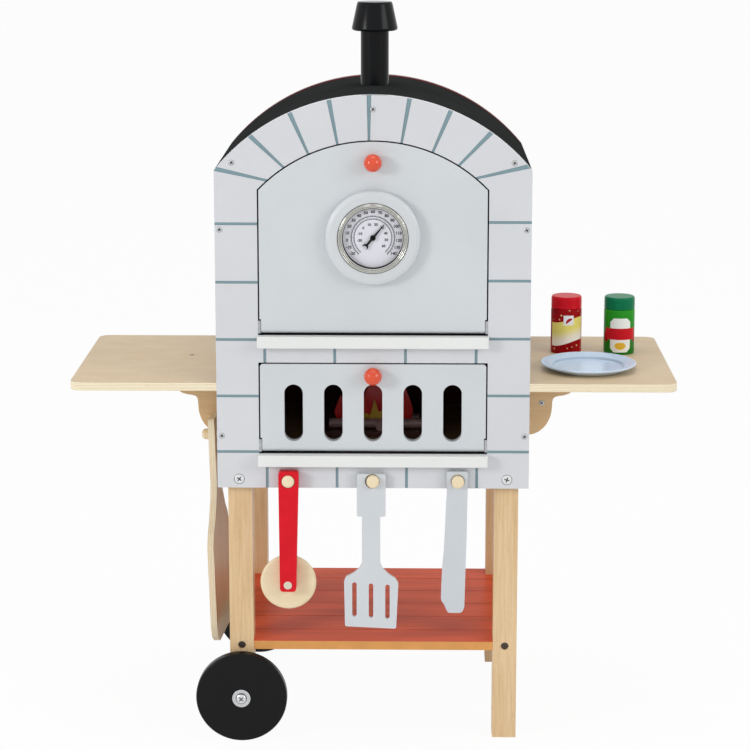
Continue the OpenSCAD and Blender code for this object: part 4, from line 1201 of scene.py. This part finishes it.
class OVEN_OT_stage(bpy.types.Operator):
    """Pale floor, soft studio lights and the camera at the photograph's angle"""

    bl_idname = "oven.stage"
    bl_label = "Floor, lights and camera"

    def execute(self, context):
        scene = context.scene
        scene.view_settings.view_transform = "Standard"
        form = bmesh.new()
        bmesh.ops.create_grid(form, x_segments=8, y_segments=8, size=14)
        mesh = bpy.data.meshes.new("floor")
        form.to_mesh(mesh)
        form.free()
        floor = bpy.data.objects.new("floor", mesh)
        scene.collection.objects.link(floor)
        floor.location = (0, 4, -0.0002)
        mesh.materials.append(floor_material())
        world_light(scene)
        for name, place, aim, size, power in (
                ("key_light", (-2.7, -2.1, 1.5), (0, 0, 0.5), 1.0, 41),
                ("fill_light", (2.8, -1.9, 1.8), (0, 0, 0.5), 1.8, 34.5),
                ("top_light", (0.0, -0.2, 3.0), (0, 0, 0.5), 1.6, 14)):
            lamp = bpy.data.lights.new(name, "AREA")
            lamp.shape, lamp.size, lamp.energy = "DISK", size, power
            light = bpy.data.objects.new(name, lamp)
            scene.collection.objects.link(light)
            light.location = place
            direction = Vector(aim) - Vector(place)
            light.rotation_euler = direction.to_track_quat("-Z", "Y").to_euler()
        lens = bpy.data.cameras.new("camera")
        lens.sensor_width, lens.lens, lens.shift_y = 36, 108.33, -0.118
        camera = bpy.data.objects.new("camera", lens)
        scene.collection.objects.link(camera)
        camera.location = (0.0452, FRONT - 2.7098, 1.0857)
        camera.rotation_euler = (math.radians(90 - 10.467), 0, math.radians(0.903))
        scene.camera = camera
        return {"FINISHED"}


def floor_material():
    """A pale floor that shows as white and keeps the object's shadow."""
    finish = Finish("floor_paint")
    cloud = finish.noise(2, 2, 0.5)
    tint = finish.mix(cloud, tone(244, 244, 244), tone(248, 248, 248))
    lit = finish.node("ShaderNodeBsdfPrincipled", {}, {"Base Color": tint, "Roughness": 0.8})
    glow = finish.node("ShaderNodeEmission", {}, {"Color": (1, 1, 1, 1), "Strength": 1.0})
    seen = finish.node("ShaderNodeLightPath", out="Is Camera Ray")
    for ray in ("Is Glossy Ray", "Is Transmission Ray"):
        seen = seen.maths("MAXIMUM", seen, finish.node("ShaderNodeLightPath", out=ray))
    shown = finish.node("ShaderNodeMixShader", {}, {0: seen * 0.95, 1: lit, 2: glow})
    finish.node("ShaderNodeOutputMaterial", {}, {"Surface": shown})
    return finish.material


def world_light(scene):
    """Soft even light, with white where the camera, gloss or glass sees the background."""
    world = bpy.data.worlds.new("studio")
    scene.world = world
    world.use_nodes = True
    tree = world.node_tree
    tree.nodes.clear()
    path = tree.nodes.new("ShaderNodeLightPath")
    seen = path.outputs["Is Camera Ray"]
    for ray in ("Is Transmission Ray", "Is Glossy Ray"):
        either = tree.nodes.new("ShaderNodeMath")
        either.operation = "MAXIMUM"
        tree.links.new(seen, either.inputs[0])
        tree.links.new(path.outputs[ray], either.inputs[1])
        seen = either.outputs[0]
    soft = tree.nodes.new("ShaderNodeBackground")
    soft.inputs["Color"].default_value = (1.0, 1.0, 1.0, 1.0)
    soft.inputs["Strength"].default_value = 0.52
    white = tree.nodes.new("ShaderNodeBackground")
    white.inputs["Color"].default_value = (1.0, 1.0, 1.0, 1.0)
    white.inputs["Strength"].default_value = 1.0
    mixed = tree.nodes.new("ShaderNodeMixShader")
    out = tree.nodes.new("ShaderNodeOutputWorld")
    tree.links.new(seen, mixed.inputs[0])
    tree.links.new(soft.outputs[0], mixed.inputs[1])
    tree.links.new(white.outputs[0], mixed.inputs[2])
    tree.links.new(mixed.outputs[0], out.inputs[0])


PIECES = (OVEN_OT_body, OVEN_OT_roof, OVEN_OT_stand, OVEN_OT_side_shelves, OVEN_OT_doors,
          OVEN_OT_thermometer, OVEN_OT_wheels, OVEN_OT_screws, OVEN_OT_utensils,
          OVEN_OT_peel, OVEN_OT_jars, OVEN_OT_plate, OVEN_OT_fire, OVEN_OT_stage)


class OVEN_PT_panel(bpy.types.Panel):
    """Lists the oven's pieces, sizes and colours"""

    bl_idname = "OVEN_PT_panel"
    bl_label = "Toy oven"
    bl_space_type = "VIEW_3D"
    bl_region_type = "UI"
    bl_category = "Toy oven"

    def draw(self, context):
        for operator in PIECES:
            self.layout.operator(operator.bl_idname)
        for group in settings(context):
            box = self.layout.box()
            for key in group.bl_rna.properties.keys():
                if key not in ("rna_type", "name"):
                    box.prop(group, key)


CLASSES = (OvenSizes, OvenColours, *PIECES, OVEN_PT_panel)


def register():
    for one in CLASSES:
        bpy.utils.register_class(one)
    bpy.types.Scene.oven_sizes = PointerProperty(type=OvenSizes)
    bpy.types.Scene.oven_colours = PointerProperty(type=OvenColours)


def unregister():
    del bpy.types.Scene.oven_colours
    del bpy.types.Scene.oven_sizes
    for one in reversed(CLASSES):
        bpy.utils.unregister_class(one)


def main():
    register()
    for operator in PIECES:
        group, name = operator.bl_idname.split(".")
        getattr(getattr(bpy.ops, group), name)()


if __name__ == "__main__":
    main()
